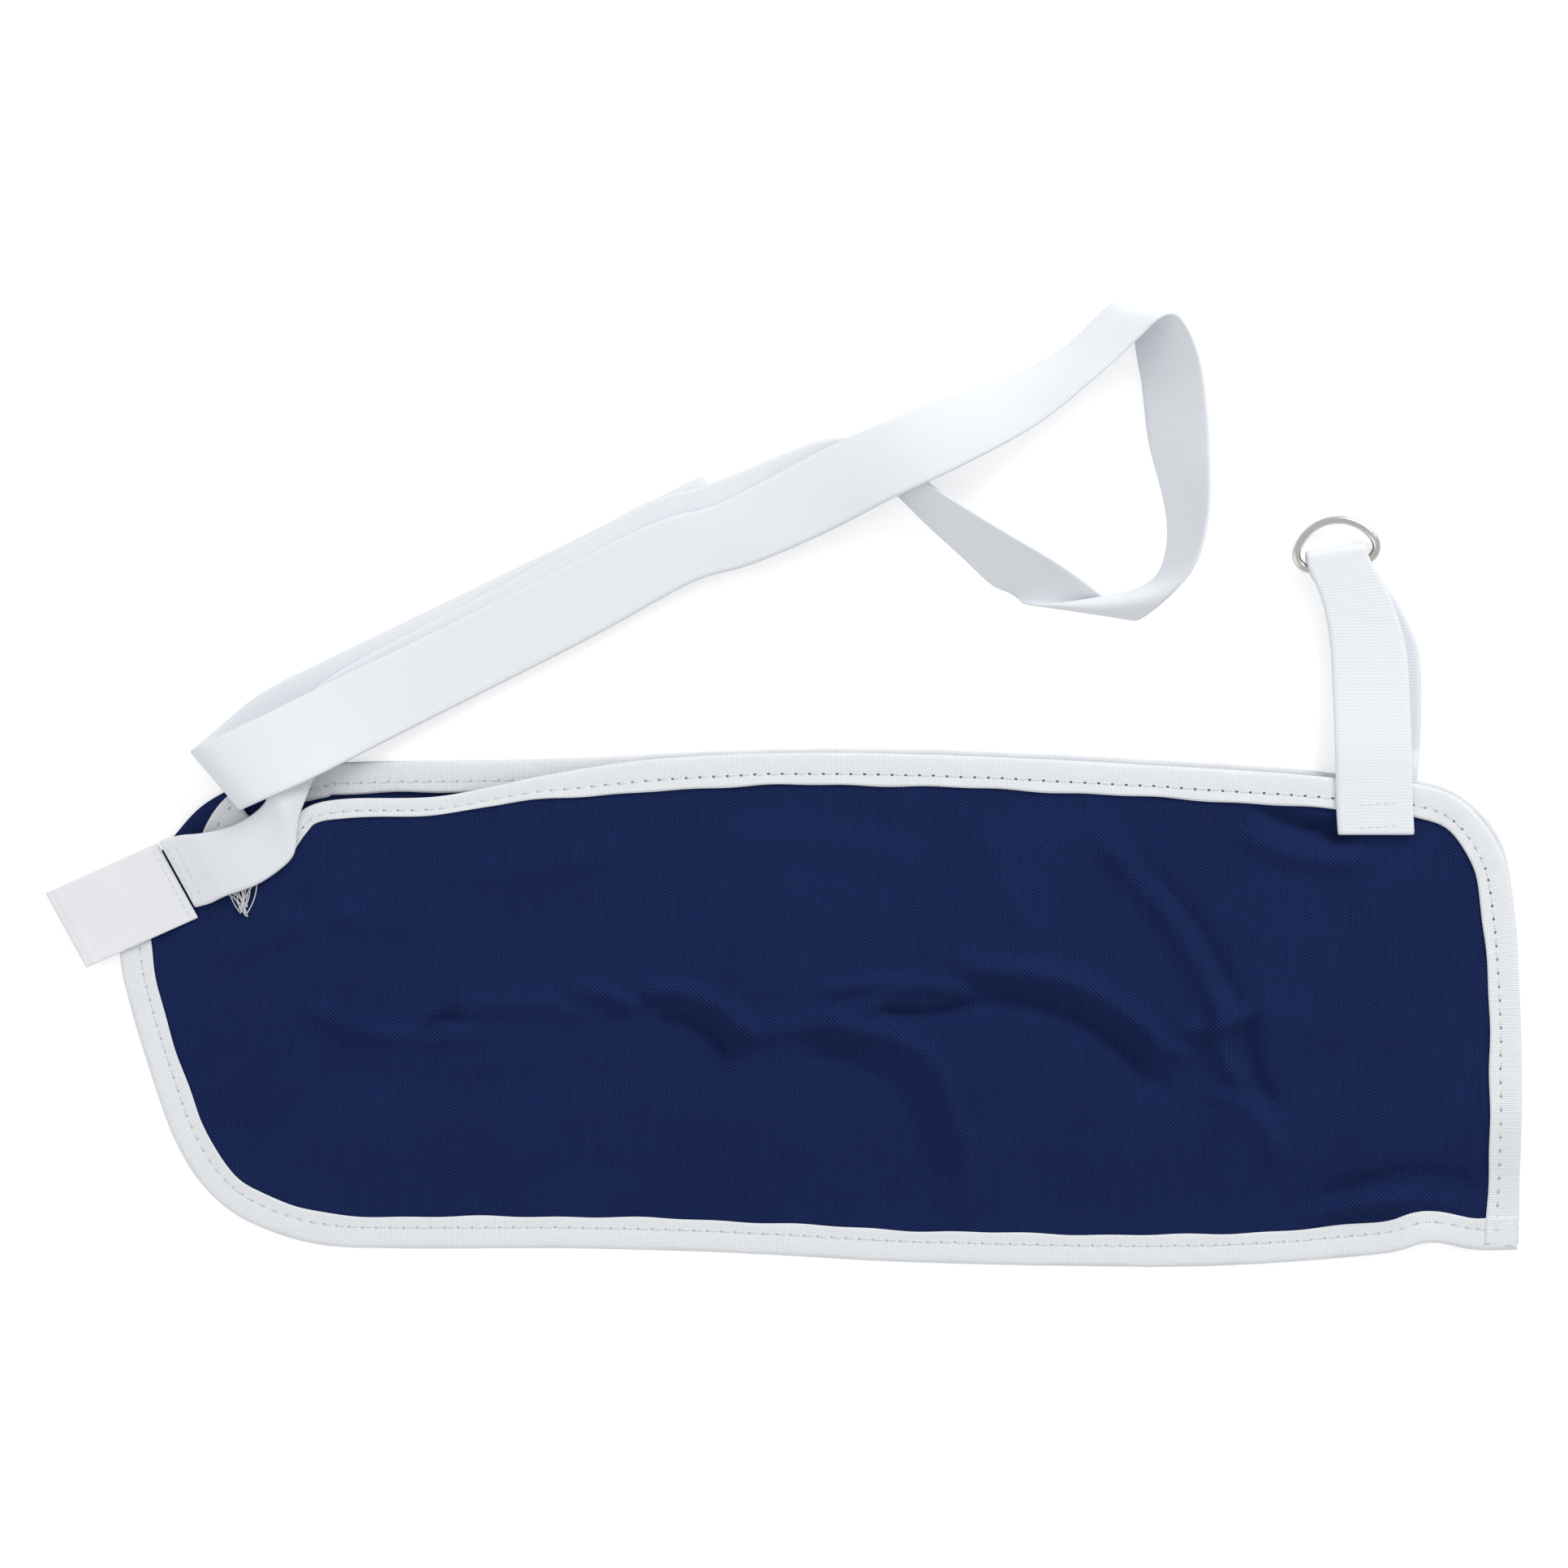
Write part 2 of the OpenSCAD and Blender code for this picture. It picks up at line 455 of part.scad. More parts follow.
module hook_stitching() {
    color("white") translate([end_at[0], end_at[1], 1.8 + strap_t / 2]) rotate([0, 0, end_turn])
        for (k = [-1, 1]) translate([-hook_l, k * (strap_w / 2 - 3.5), 0]) cube([hook_l - 3, thread_w, thread_h]);
}

back_panel();
back_panel_corner();
front_panel();
front_panel_flap();
back_edge_binding();
back_edge_stitching();
front_edge_binding();
front_edge_binding_ends();
front_edge_stitching();
seam_binding();
seam_stitching();
ring_tab();
ring_tab_sewn_end();
tab_stitching();
d_ring();
label();
label_stitching();
shoulder_strap();
strap_stitching();
hook_patch();
hook_stitching();
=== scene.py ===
import math
import bpy
import numpy as np
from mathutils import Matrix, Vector


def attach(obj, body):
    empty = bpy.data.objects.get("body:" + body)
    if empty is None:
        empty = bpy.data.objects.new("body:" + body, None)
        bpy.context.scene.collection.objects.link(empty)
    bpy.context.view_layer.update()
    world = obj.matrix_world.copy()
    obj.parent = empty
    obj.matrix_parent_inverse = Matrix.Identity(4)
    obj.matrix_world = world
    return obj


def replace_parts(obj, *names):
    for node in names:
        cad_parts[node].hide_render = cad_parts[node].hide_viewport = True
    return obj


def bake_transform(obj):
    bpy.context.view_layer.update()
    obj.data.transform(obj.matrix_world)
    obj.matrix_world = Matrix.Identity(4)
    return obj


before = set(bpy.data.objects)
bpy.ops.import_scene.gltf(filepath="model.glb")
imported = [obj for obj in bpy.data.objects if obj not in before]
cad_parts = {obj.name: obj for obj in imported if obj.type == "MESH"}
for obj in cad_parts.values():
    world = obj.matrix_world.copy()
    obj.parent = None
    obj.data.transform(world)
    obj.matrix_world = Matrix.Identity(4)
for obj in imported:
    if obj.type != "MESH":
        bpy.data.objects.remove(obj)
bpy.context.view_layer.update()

mm = 0.001

# sizes, in mm, as in part.scad
pouch = dict(length=482, depth=178, x=12, seamY=-166, panel=1.0, gap=6.0, ramp=40.0)
tape = dict(width=11.0, thick=0.4, slack=0.15, rowIn=7.2, pitch=4.75)
strapSize = dict(width=25.4, thick=1.2)
handX = pouch["x"] + pouch["length"] / 2
elbowX = pouch["x"] - pouch["length"] / 2
seamY = pouch["seamY"]
mouthY = seamY + pouch["depth"]
backZ = tape["thick"] + tape["slack"]
backTop = backZ + pouch["panel"]
edgeHeight = 2 * backZ + pouch["panel"]
frontZ = backTop + 0.05
seamTop = frontZ + pouch["panel"] + tape["slack"] + tape["thick"]


# curves and surfaces
def smooth(t):
    t = np.clip(t, 0.0, 1.0)
    return t * t * (3 - 2 * t)


def curve(points, n):
    # Catmull-Rom through the points, n steps between neighbours
    p = np.asarray(points, float)
    q = np.concatenate([p[:1], p, p[-1:]])
    t = (np.arange(n) / n)[None, :, None] if p.ndim == 2 else (np.arange(n) / n)[None, :, None, None]
    a, b, c, d = (q[k:k + len(p) - 1, None] for k in range(4))
    run = 0.5 * (2 * b + (c - a) * t + (2 * a - 5 * b + 4 * c - d) * t ** 2 + (3 * b - a - 3 * c + d) * t ** 3)
    return np.concatenate([run.reshape((-1,) + p.shape[1:]), p[-1:]])


def lengths(path):
    step = np.linalg.norm(np.diff(path, axis=0), axis=1)
    return np.concatenate([[0.0], np.cumsum(step)])


def resample(path, count):
    s = lengths(path)
    at = np.linspace(0, s[-1], count)
    return np.stack([np.interp(at, s, path[:, k]) for k in range(path.shape[1])], 1)


def leftSide(path):
    d = np.gradient(path[:, :2], axis=0)
    d /= np.linalg.norm(d, axis=1)[:, None] + 1e-12
    return np.stack([-d[:, 1], d[:, 0]], 1)


def eased(values, times):
    # neighbours averaged along a path, ends kept
    for _ in range(times):
        values = np.concatenate([values[:1], (values[:-2] + 2 * values[1:-1] + values[2:]) / 4, values[-1:]])
    return values


seamPath = curve([[handX - 0.5, seamY + 5.5], [handX - 15, seamY + 5.5], [handX - 31, seamY + 8],
    [handX - 48, seamY + 4], [handX - 103, seamY], [handX - 159, seamY], [handX - 216, seamY + 1.5],
    [elbowX + 210, seamY + 4.5], [elbowX + 154, seamY + 6], [elbowX + 93, seamY + 6],
    [elbowX + 65, seamY + 8], [elbowX + 42, seamY + 16.5], [elbowX + 28, seamY + 28.5],
    [elbowX + 18.5, seamY + 44.5], [elbowX + 11.5, seamY + 64], [elbowX + 4.5, mouthY - 91.5],
    [elbowX + 0.5, mouthY - 74], [elbowX, mouthY - 58], [elbowX + 7, mouthY - 44]], 12)
frontPath = curve([[handX - 0.5, seamY + 6.5], [handX, seamY + 18], [handX + 0.5, seamY + 64],
    [handX - 0.5, mouthY - 78], [handX - 3, mouthY - 50], [handX - 8, mouthY - 32.5],
    [handX - 20, mouthY - 18], [handX - 36, mouthY - 12], [handX - 62, mouthY - 10],
    [handX - 95, mouthY - 7.5], [handX - 188, mouthY - 2.5], [handX - 258, mouthY - 1.5],
    [elbowX + 154, mouthY - 5.5], [elbowX + 127, mouthY - 9], [elbowX + 107, mouthY - 12],
    [elbowX + 79, mouthY - 12.5], [elbowX + 66, mouthY - 15], [elbowX + 60, mouthY - 21],
    [elbowX + 53, mouthY - 33], [elbowX + 42.5, mouthY - 50.5]], 12)
backPath = curve([[handX, seamY + 6], [handX + 0.5, seamY + 18.5], [handX + 1, seamY + 64],
    [handX + 0.5, mouthY - 77], [handX - 2, mouthY - 48], [handX - 6.5, mouthY - 30],
    [handX - 19, mouthY - 16.5], [handX - 35, mouthY - 10.5], [handX - 62, mouthY - 8.5],
    [handX - 91, mouthY - 5.5], [handX - 188, mouthY - 0.5], [handX - 258, mouthY],
    [elbowX + 154, mouthY - 3], [elbowX + 79, mouthY - 4.5], [elbowX + 68, mouthY - 6],
    [elbowX + 49, mouthY - 9.5]], 12)
rollPath = curve([[elbowX + 49, mouthY - 9.5], [elbowX + 37, mouthY - 16], [elbowX + 30, mouthY - 26],
    [elbowX + 26, mouthY - 40]], 12)
foldPath = curve([[elbowX + 10, mouthY - 42], [elbowX + 18, mouthY - 32], [elbowX + 29, mouthY - 20],
    [elbowX + 45, mouthY - 11]], 8)


def distanceTo(path, x, y):
    # nearest distance from each point to a plan path, taken at its closely spaced points
    p = resample(path[:, :2], 500)
    flat = np.stack([np.ravel(x), np.ravel(y)], 1)
    out = np.empty(len(flat))
    for k in range(0, len(flat), 4000):
        part = flat[k:k + 4000]
        out[k:k + 4000] = np.sqrt(((part[:, None] - p[None]) ** 2).sum(2)).min(1)
    return out.reshape(np.shape(x))


def sagged(path):
    # near the elbow the front edge hangs a little lower than its pattern line
    out = path.copy()
    out[:, 1] -= 4.6 * smooth((path[:, 0] + 186) / 22) * smooth((-38 - path[:, 0]) / 75) * (path[:, 1] > -25)
    return out


frontPath = sagged(frontPath)


def tipped(x):
    # share of the tape's width that still faces up where the edge tips over
    return 1 - 0.42 * smooth((-52 - x) / 50)


# wrinkles of the front panel: start, end, bow to the left, width and height in mm; below 0 is a hollow
wrinkles = [
    # the long cross crease and its broken shoulders
    dict(a=(-160, -78), b=(-110, -86), bow=-4, w=5, h=0.9), dict(a=(-128, -89), b=(-112, -80), bow=2, w=3, h=-0.8),
    dict(a=(-108, -77), b=(-72, -78), bow=3, w=5, h=0.8), dict(a=(-73, -70), b=(-52, -76), bow=1, w=4, h=0.9),
    dict(a=(-46, -71), b=(-12, -86), bow=5, w=4.5, h=1.3), dict(a=(-40, -80), b=(-20, -92), bow=3, w=4, h=-0.9),
    dict(a=(-14, -84), b=(38, -72), bow=-4, w=5, h=0.8), dict(a=(36, -78), b=(64, -75), bow=-2, w=3, h=-1.0),
    dict(a=(60, -71), b=(18, -70), bow=-2, w=3.5, h=0.8), dict(a=(-150, -98), b=(-60, -100), bow=-6, w=9, h=-0.5),
    # arcs over the middle
    dict(a=(68, -64), b=(130, -90), bow=8, w=5, h=1.5), dict(a=(72, -73), b=(126, -101), bow=7, w=5, h=-1.1),
    dict(a=(20, -84), b=(60, -120), bow=12, w=5, h=1.1), dict(a=(60, -120), b=(62, -152), bow=3, w=5, h=0.9),
    dict(a=(12, -92), b=(50, -128), bow=10, w=6, h=-0.9),
    # the long diagonal down to the hand side
    dict(a=(112, -22), b=(150, -76), bow=4, w=6, h=1.2), dict(a=(122, -28), b=(152, -70), bow=3, w=5, h=-1.0),
    dict(a=(150, -76), b=(156, -102), bow=-3, w=4, h=1.2), dict(a=(160, -78), b=(166, -108), bow=-3, w=5, h=-1.0),
    dict(a=(138, -84), b=(160, -78), bow=-2, w=4, h=0.9), dict(a=(160, -76), b=(215, -84), bow=-5, w=10, h=0.5),
    dict(a=(148, -106), b=(170, -128), bow=4, w=5, h=0.8), dict(a=(150, -120), b=(144, -152), bow=-3, w=7, h=-0.7),
    # folds that run up from the seam
    dict(a=(184, -149), b=(232, -147), bow=4, w=4.5, h=1.5), dict(a=(190, -141), b=(236, -138), bow=4, w=5, h=-0.7),
    dict(a=(-70, -150), b=(-30, -108), bow=-6, w=9, h=0.6), dict(a=(-96, -148), b=(-74, -118), bow=-5, w=8, h=-0.5),
    dict(a=(-10, -150), b=(6, -120), bow=4, w=8, h=0.5), dict(a=(90, -152), b=(104, -118), bow=4, w=9, h=-0.5),
    dict(a=(-206, -112), b=(-176, -70), bow=-6, w=7, h=0.7), dict(a=(-196, -124), b=(-150, -98), bow=-4, w=8,
        h=-0.6),
    dict(a=(-190, -58), b=(-150, -46), bow=3, w=7, h=0.6), dict(a=(-120, -30), b=(-60, -22), bow=-3, w=8, h=0.5),
    dict(a=(-20, -18), b=(40, -26), bow=3, w=9, h=0.4), dict(a=(70, -18), b=(86, -50), bow=-3, w=8, h=0.5),
    dict(a=(-170, -36), b=(-130, -56), bow=-5, w=8, h=-0.5),
    # the dip under the mouth's edge beside the tab
    dict(a=(166, -8), b=(192, -16), bow=-2, w=4.5, h=-1.6), dict(a=(160, -18), b=(196, -26), bow=-3, w=5, h=0.8)]


def wrinkleHeight(x, y):
    # each wrinkle is a bell-shaped ridge about a bowed line, fading towards its ends
    total = np.zeros_like(x)
    for item in wrinkles:
        a, b = np.array(item["a"], float), np.array(item["b"], float)
        d = b - a
        run = np.hypot(*d)
        d /= run
        u = ((x - a[0]) * d[0] + (y - a[1]) * d[1]) / run
        v = -(x - a[0]) * d[1] + (y - a[1]) * d[0] - item["bow"] * 4 * np.clip(u, 0, 1) * (1 - np.clip(u, 0, 1))
        fade = smooth((u + 0.25) / 0.35) * smooth((1.25 - u) / 0.35)
        total += item["h"] * fade * np.exp(-(v / (0.8 * item["w"])) ** 2)
    return total * 3.0


def softRipple(x, y):
    # slow uneven swelling of slack cloth, from a few crossing waves
    return (0.34 * np.sin(x / 23 + 1.3 * np.sin(y / 31)) * np.sin(y / 19 + 0.8)
        + 0.16 * np.sin(x / 11 + y / 17 + 0.6) * np.sin(y / 13 - x / 41))


def riseAt(x, y):
    return pouch["gap"] * smooth((distanceTo(seamPath, x, y) - tape["width"]) / pouch["ramp"])


def frontUnder(x, y):
    # underside of the front panel: pressed on the back one at the seam, at full height inside
    return frontZ + riseAt(x, y)


# meshes
def pieceFrom(name, points, faces, uvs=None, material=None, shade=True):
    mesh = bpy.data.meshes.new(name)
    mesh.from_pydata([], [], [])
    points = np.asarray(points, np.float32) * mm
    faces = np.asarray(faces, np.int32)
    count, sides = faces.shape
    mesh.vertices.add(len(points))
    mesh.vertices.foreach_set("co", points.ravel())
    mesh.loops.add(faces.size)
    mesh.loops.foreach_set("vertex_index", faces.ravel())
    mesh.polygons.add(count)
    mesh.polygons.foreach_set("loop_start", np.arange(count, dtype=np.int32) * sides)
    if uvs is not None:
        layer = mesh.uv_layers.new(name="UVMap")
        layer.data.foreach_set("uv", np.asarray(uvs, np.float32)[faces.ravel()].ravel())
    mesh.update(calc_edges=True)
    mesh.validate()
    if shade:
        mesh.polygons.foreach_set("use_smooth", np.ones(count, bool))
    piece = bpy.data.objects.new(name, mesh)
    bpy.context.scene.collection.objects.link(piece)
    if material:
        mesh.materials.append(material)
    return piece


def surfaceNormals(grid):
    du = np.gradient(grid, axis=0)
    dv = np.gradient(grid, axis=1)
    n = np.cross(du, dv)
    return n / (np.linalg.norm(n, axis=2)[:, :, None] + 1e-12)


def shell(name, grid, thick, uv, material):
    # closed sheet about a grid of middle points (rows by columns), uv in mm
    rows, cols = grid.shape[:2]
    n = surfaceNormals(grid)
    top, low = grid + n * thick / 2, grid - n * thick / 2
    points = np.concatenate([top.reshape(-1, 3), low.reshape(-1, 3)])
    uvs = np.concatenate([uv.reshape(-1, 2), uv.reshape(-1, 2)]) * mm
    i, j = np.meshgrid(np.arange(rows - 1), np.arange(cols - 1), indexing="ij")
    a = (i * cols + j).ravel()
    quads = np.stack([a, a + cols, a + cols + 1, a + 1], 1)
    size = rows * cols
    under = quads[:, ::-1] + size
    rim = np.concatenate([np.arange(cols - 1), np.arange(rows - 1) * cols + cols - 1,
        (rows - 1) * cols + np.arange(cols - 1, 0, -1), np.arange(rows - 1, 0, -1) * cols])
    nxt = np.roll(rim, -1)
    side = np.stack([rim, nxt, nxt + size, rim + size], 1)
    # the rim bulges out by half the thickness through one ring of middle points
    middle = grid.reshape(-1, 3)[rim]
    inner = grid[1:-1, 1:-1].reshape(-1, 3)
    ahead = np.roll(middle, -1, 0) - np.roll(middle, 1, 0)
    ahead /= np.linalg.norm(ahead, axis=1)[:, None] + 1e-12
    out = np.cross(n.reshape(-1, 3)[rim], ahead)
    out /= np.linalg.norm(out, axis=1)[:, None] + 1e-12
    sign = np.sign(np.sum(out * (middle - inner.mean(0)), 1).mean()) if len(inner) else 1.0
    bulge = middle + out * sign * thick * 0.45
    start = len(points)
    points = np.concatenate([points, bulge])
    uvs = np.concatenate([uvs, uv.reshape(-1, 2)[rim] * mm])
    k = start + np.arange(len(rim))
    kn = np.roll(k, -1)
    sideA = np.stack([rim, nxt, kn, k], 1)
    sideB = np.stack([k, kn, nxt + size, rim + size], 1)
    return pieceFrom(name, points, np.concatenate([quads, under, sideA, sideB]), uvs, material)


def sweptLoop(name, sections, uv, material):
    # a closed section (columns) carried along a path (rows), with a fan over each end
    rows, cols = sections.shape[:2]
    i, j = np.meshgrid(np.arange(rows - 1), np.arange(cols), indexing="ij")
    a = (i * cols + j).ravel()
    b = (i * cols + (j + 1) % cols).ravel()
    quads = np.stack([a, b, b + cols, a + cols], 1)
    points = sections.reshape(-1, 3)
    uvs = uv.reshape(-1, 2) * mm
    c = len(points)
    points = np.concatenate([points, np.stack([sections[0].mean(0), sections[-1].mean(0)])])
    uvs = np.concatenate([uvs, uvs[:1], uvs[-1:]])
    j = np.arange(cols)
    k = (j + 1) % cols
    last = (rows - 1) * cols
    fans = np.concatenate([np.stack([k, j, np.full(cols, c)], 1),
        np.stack([j + last, k + last, np.full(cols, c + 1)], 1)])
    return pieceWithFans(name, points, quads, fans, uvs, material)


def pieceWithFans(name, points, quads, tris, uvs, material):
    loops = np.concatenate([quads.ravel(), tris.ravel()]).astype(np.int32)
    starts = np.concatenate([np.arange(len(quads)) * 4, len(quads) * 4 + np.arange(len(tris)) * 3]).astype(np.int32)
    mesh = bpy.data.meshes.new(name)
    mesh.vertices.add(len(points))
    mesh.vertices.foreach_set("co", (np.asarray(points, np.float32) * mm).ravel())
    mesh.loops.add(len(loops))
    mesh.loops.foreach_set("vertex_index", loops)
    mesh.polygons.add(len(starts))
    mesh.polygons.foreach_set("loop_start", starts)
    layer = mesh.uv_layers.new(name="UVMap")
    layer.data.foreach_set("uv", np.asarray(uvs, np.float32)[loops].ravel())
    mesh.update(calc_edges=True)
    mesh.validate()
    mesh.polygons.foreach_set("use_smooth", np.ones(len(starts), bool))
    piece = bpy.data.objects.new(name, mesh)
    bpy.context.scene.collection.objects.link(piece)
    mesh.materials.append(material)
    return piece


def outward(piece):
    # faces of a closed piece are turned so that its volume is positive
    mesh = piece.data
    co = np.empty(len(mesh.vertices) * 3)
    mesh.vertices.foreach_get("co", co)
    co = co.reshape(-1, 3)
    mesh.calc_loop_triangles()
    tri = np.empty(len(mesh.loop_triangles) * 3, np.int32)
    mesh.loop_triangles.foreach_get("vertices", tri)
    a, b, c = (co[tri.reshape(-1, 3)[:, k]] for k in range(3))
    if (a * np.cross(b, c)).sum() < 0:
        mesh.flip_normals()
    return piece


# finishes
def material(name, color, roughness, **sockets):
    m = bpy.data.materials.new(name)
    m.use_nodes = True
    shader = m.node_tree.nodes["Principled BSDF"]
    shader.inputs["Base Color"].default_value = (*color, 1)
    shader.inputs["Roughness"].default_value = roughness
    for socket, value in sockets.items():
        shader.inputs[socket.replace("_", " ")].default_value = value
    return m, m.node_tree, shader


def put(tree, kind, inputs=None, **settings):
    # one node: its settings, then its inputs, each a value or another node's output
    n = tree.nodes.new(kind)
    for key, value in settings.items():
        setattr(n, key, value)
    for key, value in (inputs or {}).items():
        if isinstance(value, bpy.types.NodeSocket):
            tree.links.new(value, n.inputs[key])
        else:
            n.inputs[key].default_value = value
    return n


def maths(tree, operation, a, b=0.0, c=0.0):
    n = tree.nodes.new("ShaderNodeMath")
    n.operation = operation
    for k, value in enumerate((a, b, c)):
        if isinstance(value, bpy.types.NodeSocket):
            tree.links.new(value, n.inputs[k])
        else:
            n.inputs[k].default_value = value
    return n.outputs[0]


def group(name, outputs):
    # a shared effect; every one of its outputs is a plain number from 0 to 1
    g = bpy.data.node_groups.new(name, "ShaderNodeTree")
    for o in outputs:
        g.interface.new_socket(name=o, in_out="OUTPUT", socket_type="NodeSocketFloat")
    return g, g.nodes.new("NodeGroupOutput")


def uvParts(tree):
    uv = put(tree, "ShaderNodeUVMap", uv_map="UVMap")
    parts = put(tree, "ShaderNodeSeparateXYZ", {0: uv.outputs[0]})
    return uv.outputs[0], parts.outputs[0], parts.outputs[1]


def knitGroup():
    # pique knit: staggered round dimples, courses along U, with uneven yarn
    g, out = group("piqueKnit", ["Height", "Shade", "Cloud"])
    uv, u, v = uvParts(g)
    pitchU, pitchV = 0.00146, 0.00126
    row = maths(g, "DIVIDE", v, pitchV)
    wob = put(g, "ShaderNodeTexNoise", {"Vector": uv, "Scale": 420.0, "Detail": 2.0})
    drift = maths(g, "MULTIPLY", maths(g, "SUBTRACT", wob.outputs["Fac"], 0.5), 0.9)
    column = maths(g, "ADD", maths(g, "DIVIDE", u, pitchU), drift)
    cu = maths(g, "COSINE", maths(g, "MULTIPLY", column, 2 * math.pi))
    cv = maths(g, "COSINE", maths(g, "MULTIPLY", row, 2 * math.pi))
    su = maths(g, "SINE", maths(g, "MULTIPLY", column, math.pi))
    sv = maths(g, "SINE", maths(g, "MULTIPLY", row, math.pi))
    dots = maths(g, "MULTIPLY", maths(g, "ADD", maths(g, "MULTIPLY", cu, cv), 1.0), 0.5)
    rib = maths(g, "MULTIPLY", maths(g, "ABSOLUTE", maths(g, "MULTIPLY", su, sv)), 0.5)
    height = maths(g, "ADD", maths(g, "MULTIPLY", dots, 0.75), rib)
    grain = put(g, "ShaderNodeTexNoise", {"Vector": uv, "Scale": 2600.0, "Detail": 3.0, "Roughness": 0.6})
    height = maths(g, "ADD", height, maths(g, "MULTIPLY", grain.outputs["Fac"], 0.35))
    g.links.new(height, out.inputs["Height"])
    streak = put(g, "ShaderNodeTexNoise", {"Vector": put(g, "ShaderNodeMapping",
        {"Vector": uv, "Scale": (1400.0, 60.0, 1.0)}).outputs[0], "Scale": 1.0, "Detail": 3.0})
    # colour: painted shade in the knit's dimples, darker where the knit sinks and lighter on its raised dots, with
    # random streaks of uneven yarn
    shade = maths(g, "ADD", maths(g, "MULTIPLY", dots, 0.72), maths(g, "MULTIPLY", streak.outputs["Fac"], 0.28))
    g.links.new(shade, out.inputs["Shade"])
    cloud = put(g, "ShaderNodeTexNoise", {"Vector": uv, "Scale": 16.0, "Detail": 3.0, "Roughness": 0.55})
    g.links.new(cloud.outputs["Fac"], out.inputs["Cloud"])
    return g


def ribGroup(name, pitch, across, grain):
    # woven tape: ribs across it and warp yarns along it
    g, out = group(name, ["Height", "Shade"])
    uv, u, v = uvParts(g)
    wob = put(g, "ShaderNodeTexNoise", {"Vector": uv, "Scale": 300.0, "Detail": 2.0})
    line = maths(g, "ADD", maths(g, "DIVIDE", u, pitch), maths(g, "MULTIPLY", wob.outputs["Fac"], 0.7))
    ribs = maths(g, "ABSOLUTE", maths(g, "SINE", maths(g, "MULTIPLY", line, math.pi)))
    warps = maths(g, "ABSOLUTE", maths(g, "SINE", maths(g, "MULTIPLY", maths(g, "DIVIDE", v, across), math.pi)))
    noise = put(g, "ShaderNodeTexNoise", {"Vector": uv, "Scale": grain, "Detail": 4.0, "Roughness": 0.65})
    body = maths(g, "ADD", maths(g, "MULTIPLY", ribs, 0.6), maths(g, "MULTIPLY", maths(g, "MULTIPLY", ribs,
        warps), 0.35))
    height = maths(g, "ADD", body, maths(g, "MULTIPLY", noise.outputs["Fac"], 0.4))
    g.links.new(height, out.inputs["Height"])
    # colour: painted shade between the ribs and warp yarns, lighter on their crowns, with random tone from the
    # noise
    g.links.new(maths(g, "ADD", maths(g, "MULTIPLY", body, 0.7), maths(g, "MULTIPLY", noise.outputs["Fac"], 0.3)),
        out.inputs["Shade"])
    return g


def mixed(tree, factor, a, b):
    n = tree.nodes.new("ShaderNodeMix")
    n.data_type = "RGBA"
    tree.links.new(factor, n.inputs[0])
    n.inputs[6].default_value = (*a, 1)
    n.inputs[7].default_value = (*b, 1)
    return n.outputs[2]


def fabric(name, effect, dark, light, roughness, depth, sheen, cloudy=None, sheenTint=(1, 1, 1), holeAndShade=0.0,
    gloss=0.25):
    m, tree, shader = material(name, light, roughness, Sheen_Weight=sheen, Sheen_Roughness=0.5,
        Specular_IOR_Level=gloss)
    shader.inputs["Sheen Tint"].default_value = (*sheenTint, 1)
    g = put(tree, "ShaderNodeGroup", node_tree=effect)
    color = mixed(tree, g.outputs["Shade"], dark, light)
    if cloudy:
        wide = tree.nodes.new("ShaderNodeMix")
        wide.data_type = "RGBA"
        wide.blend_type = "MULTIPLY"
        wide.inputs[0].default_value = 1.0
        tree.links.new(color, wide.inputs[6])
        tree.links.new(mixed(tree, g.outputs["Cloud"], *cloudy), wide.inputs[7])
        color = wide.outputs[2]
    if holeAndShade:
        holeAndShadeMix = tree.nodes.new("ShaderNodeMix")
        holeAndShadeMix.data_type = "RGBA"
        mask = put(tree, "ShaderNodeGroup", node_tree=needleHoles)
        tree.links.new(maths(tree, "MULTIPLY", mask.outputs["Hole"], holeAndShade), holeAndShadeMix.inputs[0])
        tree.links.new(color, holeAndShadeMix.inputs[6])
        # spot colour: the cloth in the needle hole, darkened with painted shade of the thread
        holeAndShadeMix.inputs[7].default_value = (0.10, 0.115, 0.18, 1)
        color = holeAndShadeMix.outputs[2]
    tree.links.new(color, shader.inputs["Base Color"])
    bump = put(tree, "ShaderNodeBump", {"Height": g.outputs["Height"], "Strength": 1.0, "Distance": depth})
    tree.links.new(bump.outputs[0], shader.inputs["Normal"])
    return m


def holeAndShadeGroup():
    # small dark spots between the stitches, one at each pitch along the tape, where the cloth shows through a
    # needle hole, deepened with painted shade of the thread
    g, out = group("needleHoles", ["Hole"])
    _, u, v = uvParts(g)
    along = maths(g, "SUBTRACT", maths(g, "FRACT", maths(g, "DIVIDE", u, tape["pitch"] * mm)), 0.5)
    away = maths(g, "SUBTRACT", 0.5, maths(g, "ABSOLUTE", along))
    alongMm = maths(g, "DIVIDE", maths(g, "MULTIPLY", away, tape["pitch"]), 0.62)
    acrossMm = maths(g, "DIVIDE", maths(g, "SUBTRACT", maths(g, "DIVIDE", maths(g, "ABSOLUTE", v), mm),
        tape["rowIn"]), 0.42)
    far = maths(g, "ADD", maths(g, "MULTIPLY", alongMm, alongMm), maths(g, "MULTIPLY", acrossMm, acrossMm))
    spot = put(g, "ShaderNodeMapRange", {"Value": far, "From Min": 1.3, "From Max": 0.5, "To Min": 0.0,
        "To Max": 1.0})
    g.links.new(spot.outputs[0], out.inputs["Hole"])
    return g


